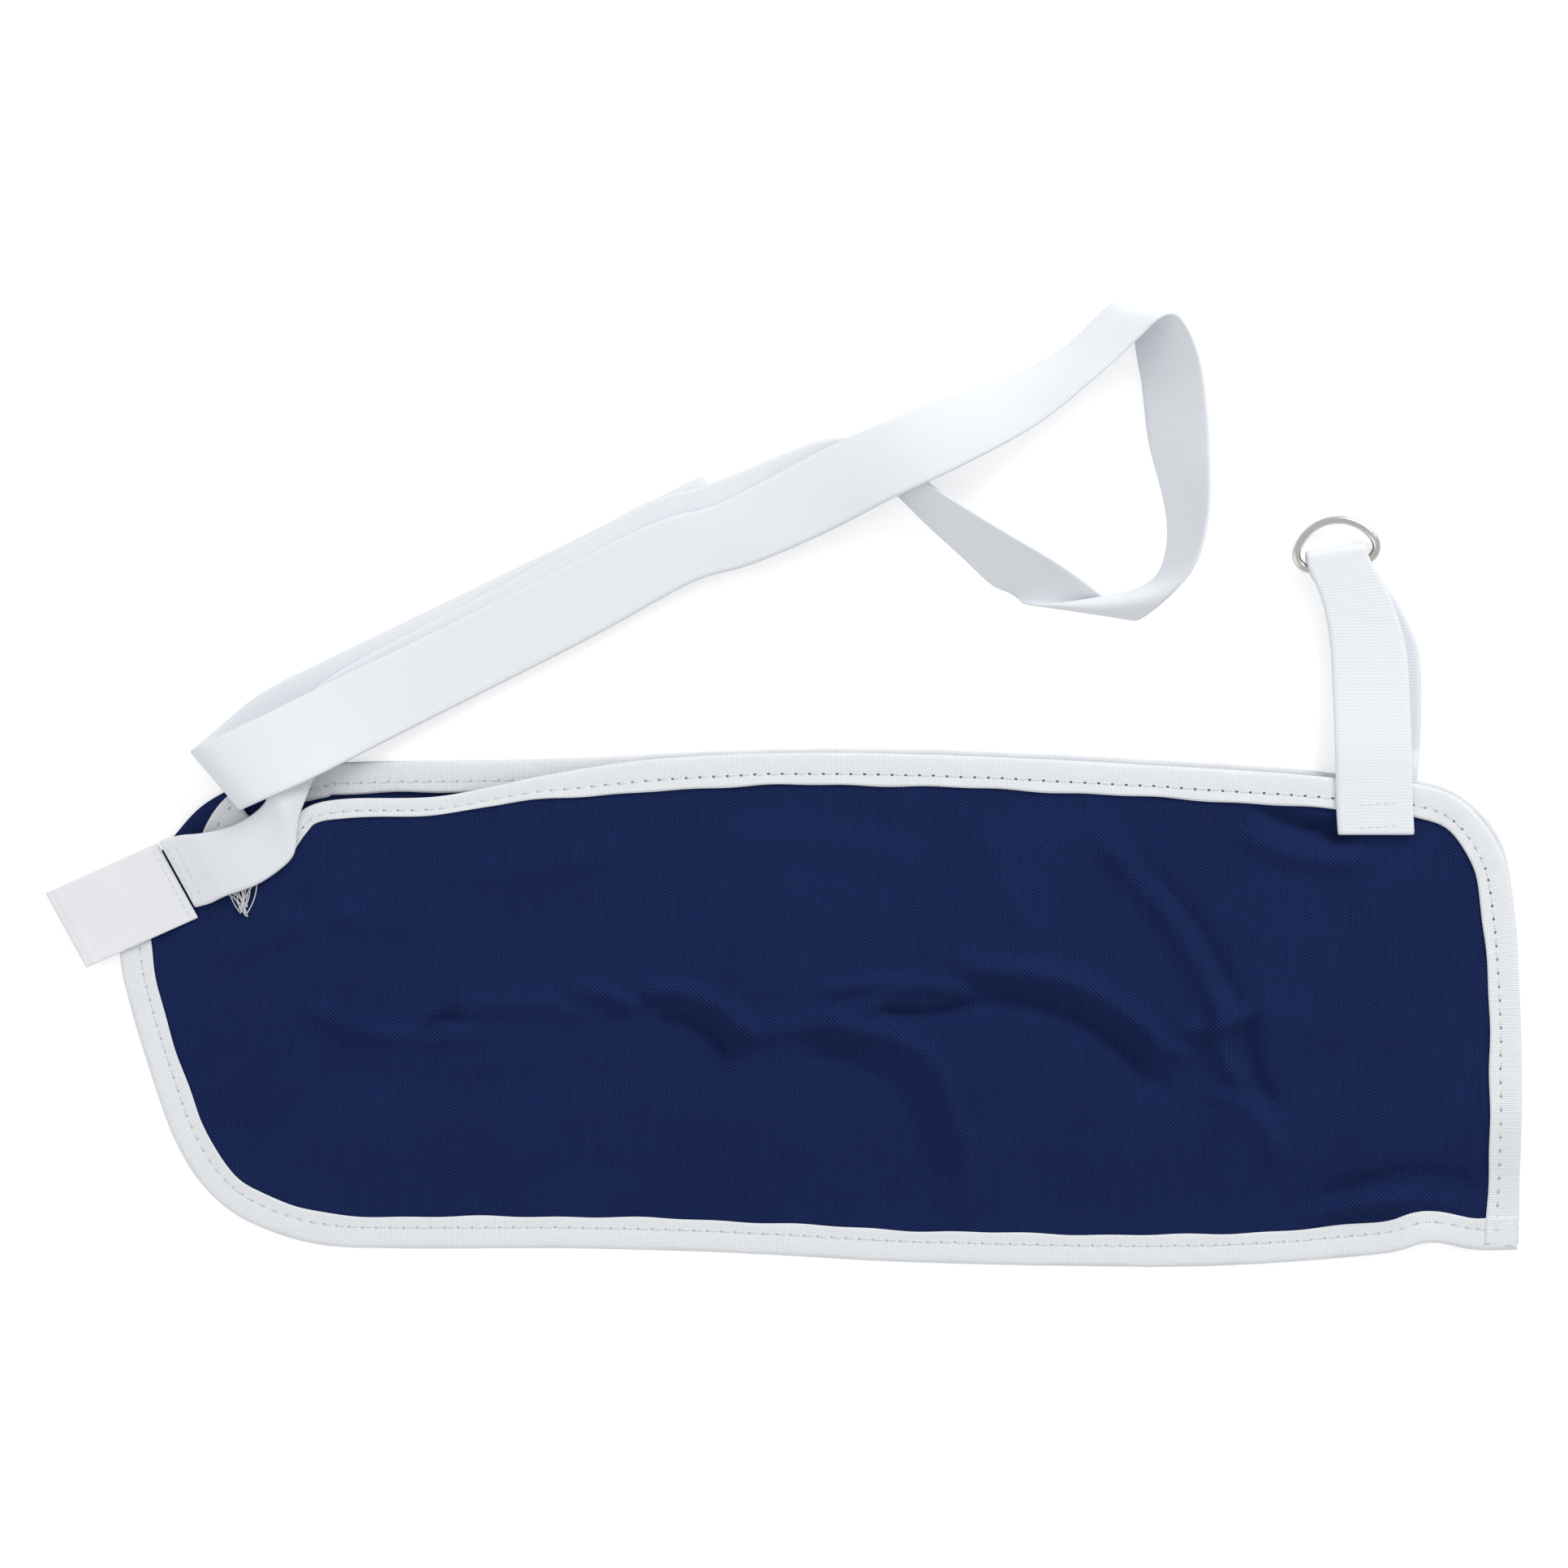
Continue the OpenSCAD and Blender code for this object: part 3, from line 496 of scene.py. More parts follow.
needleHoles = holeAndShadeGroup()
knit = knitGroup()
# the navy's dark colour is painted shade for the knit's dimples and its light colour the lit navy; the cloudy tone
# varies at random
clothFinish = fabric("navyPique", knit, (0.0002, 0.0025, 0.022), (0.0165, 0.0395, 0.168), 0.86, 0.00034, 0.02,
    ((0.80, 0.81, 0.84), (1.16, 1.15, 1.12)), (0.35, 0.5, 1.0), gloss=0.12)
# the darker colour of each ribbed finish below is painted shade between its ribs
tapeRibs = ribGroup("tapeRibs", 0.00078, 0.0009, 1500.0)
tapeFinish = fabric("ribbedTape", tapeRibs, (0.82, 0.85, 0.90), (0.94, 0.955, 0.975), 0.75, 0.00015, 0.1,
    holeAndShade=0.45)
mouthTapeFinish = fabric("ribbedMouthTape", tapeRibs, (0.82, 0.85, 0.90), (0.94, 0.955, 0.975), 0.75, 0.00015, 0.1,
    holeAndShade=1.0)
webFinish = fabric("softWebbing", ribGroup("webbingWeave", 0.0011, 0.0007, 2200.0), (0.83, 0.87, 0.92),
    (0.88, 0.91, 0.95), 0.8, 0.00006, 0.1)
threadFinish = fabric("sewingThread", ribGroup("threadTwist", 0.0004, 0.0004, 3000.0), (0.66, 0.67, 0.72),
    (0.9, 0.9, 0.92), 0.6, 0.00008, 0.1)
labelFinish = fabric("labelSatin", ribGroup("satinWeave", 0.0003, 0.0004, 1800.0), (0.83, 0.85, 0.88),
    (0.91, 0.925, 0.95), 0.5, 0.00003, 0.05)
hookFinish = fabric("hookTape", ribGroup("hookRows", 0.0016, 0.0016, 1200.0), (0.55, 0.56, 0.58),
    (0.85, 0.86, 0.87), 0.55, 0.0004, 0.0)


def metalFinish():
    # nickel plate over wire: faint drawing lines, small scuffs and duller patches
    m, tree, shader = material("nickelWire", (0.66, 0.65, 0.63), 0.2, Metallic=1.0)
    place = put(tree, "ShaderNodeTexCoord")
    fine = put(tree, "ShaderNodeTexNoise", {"Vector": place.outputs["Object"], "Scale": 900.0, "Detail": 4.0})
    wide = put(tree, "ShaderNodeTexNoise", {"Vector": place.outputs["Object"], "Scale": 120.0, "Detail": 2.0})
    both = maths(tree, "ADD", maths(tree, "MULTIPLY", fine.outputs["Fac"], 0.4),
        maths(tree, "MULTIPLY", wide.outputs["Fac"], 0.6))
    rough = put(tree, "ShaderNodeMapRange", {"Value": both, "From Min": 0.3, "From Max": 0.7, "To Min": 0.12,
        "To Max": 0.32})
    tree.links.new(rough.outputs[0], shader.inputs["Roughness"])
    tree.links.new(mixed(tree, wide.outputs["Fac"], (0.60, 0.59, 0.57), (0.74, 0.73, 0.71)),
        shader.inputs["Base Color"])
    bump = put(tree, "ShaderNodeBump", {"Height": both, "Strength": 0.4, "Distance": 0.00004})
    tree.links.new(bump.outputs[0], shader.inputs["Normal"])
    return m


wireFinish = metalFinish()


# camera, light and table
def look(z, frameWidth):
    cam = bpy.data.objects.new("camera", bpy.data.cameras.new("camera"))
    bpy.context.scene.collection.objects.link(cam)
    cam.location = (0, 0, z)
    cam.data.sensor_width = 36
    cam.data.lens = 36 * z / frameWidth
    cam.data.clip_end = 20
    bpy.context.scene.camera = cam


def lamp(name, at, size, power, color=(1, 1, 1)):
    data = bpy.data.lights.new(name, "AREA")
    data.energy = power
    data.size = size
    data.color = color
    o = bpy.data.objects.new(name, data)
    bpy.context.scene.collection.objects.link(o)
    o.location = at
    o.rotation_euler = Vector((-at[0], -at[1], -at[2])).to_track_quat("-Z", "Y").to_euler()


look(1.9, 0.541)
lamp("softKey", (1.0, 1.45, 0.95), 0.8, 20)
lamp("softFill", (-1.5, -0.5, 1.5), 1.6, 7)
world = bpy.data.worlds.new("studio")
bpy.context.scene.world = world
world.use_nodes = True
wt = world.node_tree
sky = wt.nodes["Background"]
sky.inputs[0].default_value = (1, 1, 1, 1)
sky.inputs[1].default_value = 0.62
bpy.context.scene.view_settings.view_transform = "Standard"

tableMaterial, tt, tableShader = material("paleTable", (0.86, 0.86, 0.86), 0.9)
lp = put(tt, "ShaderNodeLightPath")
seen = maths(tt, "MAXIMUM", lp.outputs["Is Camera Ray"], maths(tt, "MAXIMUM", lp.outputs["Is Glossy Ray"],
    lp.outputs["Is Transmission Ray"]))
white = put(tt, "ShaderNodeEmission", {"Color": (1, 1, 1, 1), "Strength": 0.42})
plain = put(tt, "ShaderNodeAddShader")
tt.links.new(tableShader.outputs[0], plain.inputs[0])
tt.links.new(white.outputs[0], plain.inputs[1])
choice = put(tt, "ShaderNodeMixShader", {0: seen})
tt.links.new(tableShader.outputs[0], choice.inputs[1])
tt.links.new(plain.outputs[0], choice.inputs[2])
# from below the table is see-through, so the underside can be looked at
facing = put(tt, "ShaderNodeNewGeometry")
clear = put(tt, "ShaderNodeBsdfTransparent")
below = put(tt, "ShaderNodeMixShader", {0: facing.outputs["Backfacing"]})
tt.links.new(choice.outputs[0], below.inputs[1])
tt.links.new(clear.outputs[0], below.inputs[2])
tt.links.new(below.outputs[0], tt.nodes["Material Output"].inputs["Surface"])
wide = 30000
table = pieceFrom("table", [[-wide, -wide, -0.03], [wide, -wide, -0.03], [wide, wide, -0.03], [-wide, wide, -0.03]],
    [[0, 1, 2, 3]], None, tableMaterial, False)
print("stage ready")


# cloth panels
def patch(bottom, top, left, right, rows, cols):
    # a plan grid that meets four edges: blended between bottom and top, and between left and right
    v = np.linspace(0, 1, cols)[None, :, None]
    u = np.linspace(0, 1, rows)[:, None, None]
    b, t = resample(bottom, rows)[:, None], resample(top, rows)[:, None]
    l, r = resample(left, cols)[None], resample(right, cols)[None]
    corners = (1 - u) * (1 - v) * b[:1] + u * (1 - v) * b[-1:] + (1 - u) * v * t[:1] + u * v * t[-1:]
    return (1 - v) * b + v * t + (1 - u) * r + u * l - corners


def inwards(path, n, turn=1):
    return path[:, :2] + leftSide(path) * n * turn


seamIn = inwards(seamPath, 1.2, -1)
frontIn = inwards(frontPath, 1.2)
backIn = inwards(backPath, 1.2)
splitSeam = 13 * 12
frontTurn = 5 * 12 + 6
backTurn = 5 * 12 + 6


def frontPanel():
    tail = np.array([frontIn[-1], [elbowX + 29, mouthY - 48.5], [elbowX + 15, mouthY - 43.5], seamIn[-1]])
    top = np.concatenate([frontIn[frontTurn:], resample(tail, 20)[1:]])
    grid = patch(seamIn[:splitSeam + 1], top, seamIn[splitSeam:], frontIn[:frontTurn + 1], 330, 118)
    x, y = grid[..., 0], grid[..., 1]
    seamGap, edgeGap = distanceTo(seamPath, x, y), distanceTo(frontPath, x, y)
    mask = smooth((seamGap - 8) / 14) * smooth((edgeGap - 8) / 12)
    base = frontZ + pouch["gap"] * smooth((seamGap - tape["width"]) / pouch["ramp"]) + pouch["panel"] / 2
    z = base + mask * (wrinkleHeight(x, y) + softRipple(x, y))
    z = np.maximum(z, frontZ + pouch["panel"] / 2)
    sheet = np.dstack([x, y, z])
    piece = outward(shell("frontPanel", sheet, pouch["panel"], grid, clothFinish))
    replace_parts(piece, "front_panel", "front_panel_flap")
    return piece


def backPanel():
    top = np.concatenate([backIn[backTurn:], foldPath[::-1][1:], seamIn[-1:]])
    grid = patch(seamIn[:splitSeam + 1], top, seamIn[splitSeam:], backIn[:backTurn + 1], 240, 90)
    x, y = grid[..., 0], grid[..., 1]
    edge = np.minimum(distanceTo(seamPath, x, y), distanceTo(backPath, x, y))
    # the underside lies on the table between the tapes
    z = np.full_like(x, backZ + pouch["panel"] / 2) - 0.4 * smooth((edge - 14) / 14) \
        + 0.5 * smooth((edge - 12) / 14) * np.abs(softRipple(x * 0.8 + 9, y * 0.7))
    piece = outward(shell("backPanel", np.dstack([x, y, z]), pouch["panel"], grid, clothFinish))
    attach(piece, "pouch")
    return piece


def rolledCorner(panel):
    # the elbow corner of the back panel, rolled forward: it turns over at the fold and runs in under its tape
    outer = resample(foldPath[4:22], 30)
    inner = resample(inwards(rollPath[22:], tape["width"] - 1.0), 30)[::-1]
    v = np.array([0, 0.03, 0.08, 0.16, 0.3, 0.45, 0.6, 0.8, 1.0])[None, :, None]
    flat = outer[:, None] * (1 - v) + inner[:, None] * v
    lift = np.sin(np.clip(v[..., 0] / 0.16, 0, 1) * math.pi / 2)
    z = 1.5 + 1.25 * lift + 0.15 * np.sin(flat[..., 0] / 4.0) * (v[..., 0] > 0.1)
    # the fold stands a little outside the lower layer
    flat = flat + (1 - lift)[..., None] * np.array([-0.3, 0.3])
    piece = outward(shell("rolledCorner", np.dstack([flat, z]), pouch["panel"] * 0.9, flat, clothFinish))
    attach(piece, "pouch")
    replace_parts(panel, "back_panel")
    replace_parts(piece, "back_panel_corner")
    return piece


# bound edges and thread
def boundEdge(name, path, turn, lowZ, topZ, finish=None, narrow=None):
    # tape folded round an edge; turn says which side is inside, lowZ and topZ give its outer faces over the plan
    s = lengths(path)
    count = int(s[-1] / 1.15)
    line = resample(path, count)
    run = np.linspace(0, s[-1], count)
    side = eased(leftSide(line) * turn, 6)
    side /= np.linalg.norm(side, axis=1)[:, None]
    wobble = 0.14 * np.sin(run / 7.3) + 0.1 * np.sin(run / 3.1 + 1)
    inner = 0.25 * np.sin(run / 9.7 + 2) + 0.18 * np.sin(run / 4.3)
    across = np.array([0.18, 0.6, 1.3, 2.6, 4.2, 5.6, 6.6, 7.2, 7.8, 8.8, 10.0, 11.0])
    t = tape["thick"]
    stitch = 0.5 + 0.5 * np.cos(2 * math.pi * run / tape["pitch"])

    def leg(level, sign, lift):
        # one face of the tape: pulled in along the row of thread and between the stitches, its free edge wavy
        n = across[None] + (wobble * (1 - across[:, None] / 11)).T + (inner * (across[:, None] / 11) ** 3).T
        n = n * (narrow(line[:, 0]) if narrow else np.ones(count))[:, None]
        xy = line[:, None] + side[:, None] * n[..., None]
        dip = 0.16 * np.exp(-((across - tape["rowIn"]) / 0.9) ** 2)[None] * (0.55 + 0.45 * stitch[:, None])
        swell = 0.12 * np.exp(-((across - 3.2) / 2.2) ** 2)[None] * (0.6 + 0.4 * np.sin(run / 2.1)[:, None])
        edge = 0.22 * np.clip((across - 8.2) / 2.8, 0, 1)[None] ** 2 * (0.5 + 0.5 * np.sin(run / 5.3 + 0.7)[:,
            None])
        rounding = -0.5 * np.clip(1 - across / 1.1, 0, 1)[None] ** 2 * (topZ(xy[..., 0], xy[...,
            1]) - lowZ(xy[..., 0], xy[..., 1])) * 0.5
        z = level(xy[..., 0], xy[..., 1]) + sign * (swell * lift - dip + edge * lift + rounding)
        return np.dstack([xy, z])

    top = leg(topZ, 1, 1.0)
    low = leg(lowZ, -1, 0.0)
    topIn, lowIn = top.copy(), low.copy()
    topIn[..., 2] -= t
    lowIn[..., 2] += t
    middle = (topZ(line[:, 0], line[:, 1]) + lowZ(line[:, 0], line[:, 1])) / 2
    nose = np.concatenate([line - side * 0.05, middle[:, None]], 1)[:, None]
    noseIn = np.concatenate([line + side * (t + 0.05), middle[:, None]], 1)[:, None]
    loop = np.concatenate([top[:, ::-1], nose, low, lowIn[:, ::-1], noseIn, topIn[:, :]], 1)
    # the inner faces keep clear of the fold's rounding
    cols = loop.shape[1]
    place = np.concatenate([across[::-1], [0], -across, -across[::-1], [0], across])
    uv = np.dstack([np.repeat(run[:, None], cols, 1), np.repeat(place[None], count, 0)])
    piece = outward(sweptLoop(name, loop, uv, finish or tapeFinish))
    return piece


def stitches(name, path, turn, level, up=1.0, inset=None, pitch=None, size=(3.1, 0.42, 0.26)):
    # a row of stitches: short fat threads that dive into the cloth at both ends
    inset = tape["rowIn"] if inset is None else inset
    pitch = pitch or tape["pitch"]
    base = resample(path, 900)
    side = eased(leftSide(base) * turn, 6)
    side /= np.linalg.norm(side, axis=1)[:, None]
    row = base + side * (inset(base[:, 0])[:, None] if callable(inset) else inset)
    s = lengths(row)
    at = np.arange(pitch / 2, s[-1] - 1, pitch)
    a, b = 9, 6
    along = np.linspace(-1, 1, a)
    ring = np.arange(b) / b * 2 * math.pi
    thick = np.sqrt(np.clip(1 - along ** 2 * 0.96, 0, 1))
    local = np.stack([np.repeat(along[:, None] * size[0] / 2, b, 1), thick[:, None] * np.cos(ring) * size[1] / 2,
        thick[:, None] * np.sin(ring) * size[2] / 2 + (thick[:, None] - 1) * size[2] * 0.5], 2).reshape(-1, 3)
    cx, cy = np.interp(at, s, row[:, 0]), np.interp(at, s, row[:, 1])
    ahead = np.stack([np.interp(at + 0.5, s, row[:, 0]) - np.interp(at - 0.5, s, row[:, 0]),
        np.interp(at + 0.5, s, row[:, 1]) - np.interp(at - 0.5, s, row[:, 1])], 1)
    ahead /= np.linalg.norm(ahead, axis=1)[:, None]
    slant = 0.05 * np.sin(at * 1.7)
    ahead = np.stack([ahead[:, 0] - ahead[:, 1] * slant, ahead[:, 1] + ahead[:, 0] * slant], 1)
    z = level(cx, cy)
    centre = np.stack([cx, cy, z + up * 0.02], 1)
    acrossDir = np.stack([-ahead[:, 1], ahead[:, 0]], 1)
    points = centre[:, None] + np.concatenate([ahead, np.zeros((len(at), 1))], 1)[:, None] * local[None, :, :1] \
        + np.concatenate([acrossDir, np.zeros((len(at), 1))], 1)[:, None] * local[None, :, 1:2] \
        + np.array([0, 0, up])[None, None] * local[None, :, 2:]
    i, j = np.meshgrid(np.arange(a - 1), np.arange(b), indexing="ij")
    one = np.stack([(i * b + j).ravel(), (i * b + (j + 1) % b).ravel(), ((i + 1) * b + (j + 1) % b).ravel(),
        ((i + 1) * b + j).ravel()], 1)
    caps = []
    for end, order in ((0, 1), ((a - 1) * b, -1)):
        caps += [[end + 0, end + 1, end + 2, end + 3][::order], [end + 0, end + 3, end + 4, end + 5][::order]]
    one = np.concatenate([one, np.array(caps)])
    faces = (one[None] + (np.arange(len(at)) * a * b)[:, None, None]).reshape(-1, 4)
    uv = np.repeat(local[None, :, :2], len(at), 0).reshape(-1, 2) * mm
    piece = outward(pieceFrom(name, points.reshape(-1, 3), faces, uv, threadFinish))
    return piece


def flatLevel(z):
    return lambda x, y: np.full(np.shape(x), float(z))


front = frontPanel()
back = backPanel()
corner = rolledCorner(back)
print("panels ready")

seamTape = boundEdge("seamTape", seamPath, -1, flatLevel(0.0), flatLevel(seamTop))
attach(seamTape, "pouch")
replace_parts(seamTape, "seam_binding")
backTape = boundEdge("backEdgeTape", backPath[30:], 1, flatLevel(0.0), flatLevel(edgeHeight))
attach(backTape, "pouch")
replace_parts(backTape, "back_edge_binding")
# where the two panels are pressed together at the hand corner, only the lower half of the tape is there
cornerLine = resample(backPath[3:31], 40)
cornerIn = leftSide(cornerLine)
reach = np.linspace(0, tape["width"], 12)
cornerGrid = np.dstack([cornerLine[:, None] + cornerIn[:, None] * reach[None, :, None], np.full((40, 12), 0.2)])
cornerRun = np.repeat(lengths(cornerLine)[:, None], 12, 1)
cornerTape = outward(shell("handCornerTape", cornerGrid, tape["thick"],
    np.dstack([cornerRun, np.repeat(reach[None], 40, 0)]), tapeFinish))
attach(cornerTape, "pouch")
rollZ = backTop + 0.05
rollTape = boundEdge("rolledCornerTape", rollPath[10:][::-1] + leftSide(rollPath[10:])[::-1] * tape["width"],
    1, flatLevel(rollZ), flatLevel(rollZ + edgeHeight))
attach(rollTape, "pouch")
frontTape = boundEdge("frontEdgeTape", frontPath[:-14], 1, lambda x, y: frontUnder(x, y) - backZ,
    lambda x, y: frontUnder(x, y) + pouch["panel"] + backZ, finish=mouthTapeFinish, narrow=tipped)
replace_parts(frontTape, "front_edge_binding", "front_edge_binding_ends")
print("tapes ready")

seamThread = stitches("seamThread", seamPath, -1, flatLevel(seamTop - 0.05))
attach(seamThread, "pouch")
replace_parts(seamThread, "seam_stitching")
seamThreadUnder = stitches("seamThreadUnder", seamPath, -1, flatLevel(0.24), -1.0)
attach(seamThreadUnder, "pouch")
backThread = stitches("backEdgeThread", backPath[34:], 1, flatLevel(edgeHeight - 0.05))
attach(backThread, "pouch")
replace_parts(backThread, "back_edge_stitching")
backThreadUnder = stitches("backEdgeThreadUnder", backPath[34:], 1, flatLevel(0.24), -1.0)
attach(backThreadUnder, "pouch")
frontThread = stitches("frontEdgeThread", frontPath[6:-16], 1,
    lambda x, y: frontUnder(x, y) + pouch["panel"] + backZ - 0.05, inset=lambda x: tape["rowIn"] * tipped(x))
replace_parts(frontThread, "front_edge_stitching")
print("threads ready")


# webbing
def ribbon(stations, width):
    # stations carry the two edges of 25.4 mm webbing, and the set width widens them about their middle
    p = np.array(stations, float)
    m = p.mean(1, keepdims=True)
    return m + (p - m) * width / 25.4


def webbing(name, edges, steps, columns, thick, easing, soft, finish):
    # a ribbon between two edge lines, eased along its length, faintly crowned and unevenly slack
    run = curve(edges, steps)
    run = eased(run, easing)
    mid = run.mean(1)
    s = lengths(mid)
    v = np.linspace(0, 1, columns)
    v = 0.5 - 0.5 * np.cos(v * math.pi) * (0.35) - (0.5 - v) * 0.65
    grid = run[:, None, 0] * (1 - v[None, :, None]) + run[:, None, 1] * v[None, :, None]
    n = surfaceNormals(grid)
    width = np.linalg.norm(run[:, 0] - run[:, 1], axis=1)
    # the shorter a station looks across, the more the webbing cups there
    cup = np.clip(strapSize["width"] * 0.98 - width, 0, 9)[:, None] * 0.16 * np.sin(v * math.pi)[None]
    ease = smooth(s / 25)[:, None] * smooth((s[-1] - s) / 25)[:, None]
    wave = soft * (np.sin(s[:, None] / 17 + 2.2 * v[None]) * 0.6 + np.sin(s[:,
        None] / 6.3 - 3 * v[None]) * 0.25) * ease
    grid = grid + n * (wave + cup * np.sign(n[..., 2:3].mean() + 1e-9))[..., None] if soft else grid
    uv = np.dstack([np.repeat(s[:, None], columns, 1), np.repeat((v * strapSize["width"])[None], len(s), 0)])
    piece = outward(shell(name, grid, thick, uv, finish))
    return piece, float(s[-1]), run


strapStations = [
    [(-214.5, -20, 5.2), (-202.5, -42, 4.8)], [(-207.5, -18, 7.2), (-197, -40.5, 6.6)],
    [(-200.5, -17.5, 9), (-192, -38, 8.4)], [(-189.5, -15, 10.4), (-181.5, -34.5, 10.2)],
    [(-181.5, -10.5, 11.6), (-172.5, -28.5, 10.4)], [(-177, -6, 14), (-168, -23, 10.4)],
    [(-175.5, -1.5, 16), (-167.5, -13.5, 10.6)], [(-173.5, 4.5, 15), (-164.5, -5, 10.8)],
    [(-172, 13, 11), (-160.5, 5, 8)], [(-169, 22, 8), (-155, 13.5, 6)],
    [(-161.5, 32.5, 5.8), (-146, 20.5, 4.6)], [(-144.5, 43.5, 4.2), (-130.5, 26, 3.8)],
    [(-119.5, 56.5, 3.6), (-108, 34.5, 3.6)], [(-85.5, 74.5, 3.7), (-74.5, 52.5, 3.7)],
    [(-48, 96.5, 3.7), (-36.5, 73.5, 3.7)], [(-29.5, 101.5, 3.7), (-20.5, 78.5, 3.7)],
    [(-10, 109, 3.6), (-2, 85.5, 3.2)], [(9.5, 117, 4.4), (14.5, 94.5, 2.4)],
    [(22, 119, 6), (25, 100, 2)], [(34, 116, 9), (33, 101, 1.6)],
    [(42, 110.5, 12), (37, 101, 1.4)], [(48, 104, 14), (40, 99, 1.2)],
    [(62.5, 94, 16.5), (50, 89, 1.2)], [(78, 84.5, 17), (61.5, 78.5, 1.2)],
    [(90.5, 77.5, 14), (71.5, 69, 1.4)], [(102, 70, 9), (77.5, 66.5, 2)],
    [(112.5, 62.5, 5), (81, 64, 2.8)], [(119.5, 56.5, 6.5), (82.5, 62.5, 4.6)],
    [(124, 58, 12), (90.5, 61.5, 7.4)], [(131, 64, 18.5), (109, 64, 7.4)],
    [(139, 73, 22.5), (127, 69, 3.6)], [(143.5, 85, 23.2), (132.5, 82, 1.2)],
    [(145.5, 99.5, 22), (131.5, 97, 1)], [(145.5, 115, 18), (126, 117, 1)],
    [(144, 134.5, 17), (124, 136, 1)], [(141, 148.5, 18), (121.5, 150, 1)],
    [(134.5, 160, 21), (121, 158, 1.2)], [(128, 159, 23), (119.5, 164, 1.4)],
    [(123, 154.5, 22.5), (114, 166, 1.6)], [(114.5, 146.5, 21.5), (106.5, 159.5, 2)],
    [(105, 138, 22), (96.5, 150, 2.6)], [(86.5, 123, 21), (76.5, 139, 5)],
    [(65.5, 111.5, 19.5), (54.5, 131.5, 9)], [(50, 104, 18.4), (38, 125, 10.5)],
    [(34.5, 97, 14.5), (24, 119.5, 9.5)], [(15, 87, 9), (5.5, 110.5, 7.4)],
    [(-13.5, 75, 6), (-24, 95, 6)], [(-31, 70.5, 5.8), (-41.5, 91, 6.2)],
    [(-64, 52, 5.6), (-74.5, 75, 5.6)], [(-110.5, 28.5, 6), (-122, 51, 6)],
    [(-141, 13, 9.6), (-153, 36, 9.6)], [(-164, 1, 17.4), (-177.5, 23.5, 14.6)],
    [(-178, -5, 19), (-192.5, 16.5, 15.6)], [(-185, -8, 16.5), (-200.5, 12.5, 14)],
    [(-186.5, -8.5, 12), (-203.5, 11, 9.6)], [(-185, -6.5, 7), (-201.5, 13, 4.4)],
    [(-178.5, -1, 4.2), (-194.5, 19, 2.4)], [(-166.5, 9.5, 2.8), (-179.5, 31.5, 1.8)],
    [(-141.5, 22, 1.8), (-153, 44.5, 1.8)], [(-91.5, 46.5, 1.8), (-102.5, 69, 1.8)],
    [(-52, 65.5, 1.8), (-63.5, 88, 1.8)], [(-17, 83, 1.8), (-28, 106, 1.8)]]
strap, strapLength, strapRun = webbing("shoulderStrap", ribbon(strapStations, strapSize["width"]), 9, 15, 1.1, 10,
    0.16, webFinish)
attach(strap, "strap")
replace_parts(strap, "shoulder_strap")

# the ring's bar, as in part.scad
ring = dict(at=np.array([191, 75.5, 3.4]), turn=9.0, width=28.0, height=15.5, corner=5.0, wire=3.1)
barDir = np.array([math.cos(math.radians(ring["turn"])), math.sin(math.radians(ring["turn"])), 0])
ringDir = np.array([-barDir[1], barDir[0], 0])
turnR = ring["wire"] / 2 + 0.35 + strapSize["thick"] / 2


def tabStations():
    def across(m, half=10.2):
        return [tuple(m - barDir * half), tuple(m + barDir * half)]

    frontRun = [[(190.5, -17, 10.2), (215.9, -17, 10.2)], [(190, -8, 10.2), (215.4, -8, 10.2)],
        [(189.8, 4, 10.2), (215.2, 4, 10.2)], [(189.6, 12, 9.8), (215, 12, 9.8)],
        [(189.4, 22, 8.6), (214.8, 22, 8.6)], [(189, 34, 7.2), (214.4, 34, 7.2)],
        [(188.5, 46, 6.3), (213.5, 46, 6.3)], [(187, 57, 6), (210.5, 57.5, 6)], [(184.5, 66, 5.9), (206.5, 68,
            5.9)]]
    turn = [across(ring["at"] + ringDir * (3.4 + turnR * math.cos(a)) + np.array([0, 0, turnR * math.sin(a)]))
        for a in np.radians([90, 60, 30, 0, -30, -60, -90])]
    over = across(ring["at"] + np.array([0, 0, turnR]))
    under = across(ring["at"] - np.array([0, 0, turnR]))
    backRun = [[(185.5, 66, 0.9), (208.5, 67, 0.9)], [(190.5, 55, 0.9), (215.3, 55, 0.9)],
        [(193.5, 44, 0.9), (218.9, 44, 0.9)], [(194, 28, 0.9), (219.4, 28, 0.9)],
        [(193.6, 14, 0.95), (219, 14, 0.95)], [(193.2, 10.5, 1.5), (218.6, 10.5, 1.5)],
        [(192.6, 5.5, 3.2), (218, 5.5, 3.2)], [(192.2, 0, 3.3), (217.6, 0, 3.3)],
        [(192, -9, 3.2), (217.4, -9, 3.2)], [(192, -18, 2.4), (217.4, -18, 2.4)]]
    return frontRun + [over] + turn + [under] + backRun


tab, tabLength, _ = webbing("ringTab", ribbon(tabStations(), strapSize["width"]), 8, 13, 1.1, 3, 0.0, webFinish)
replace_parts(tab, "ring_tab", "ring_tab_sewn_end")

hookAt, hookTurn = np.array([-22.5, 94.5]), math.atan2(17.7, 35.2)


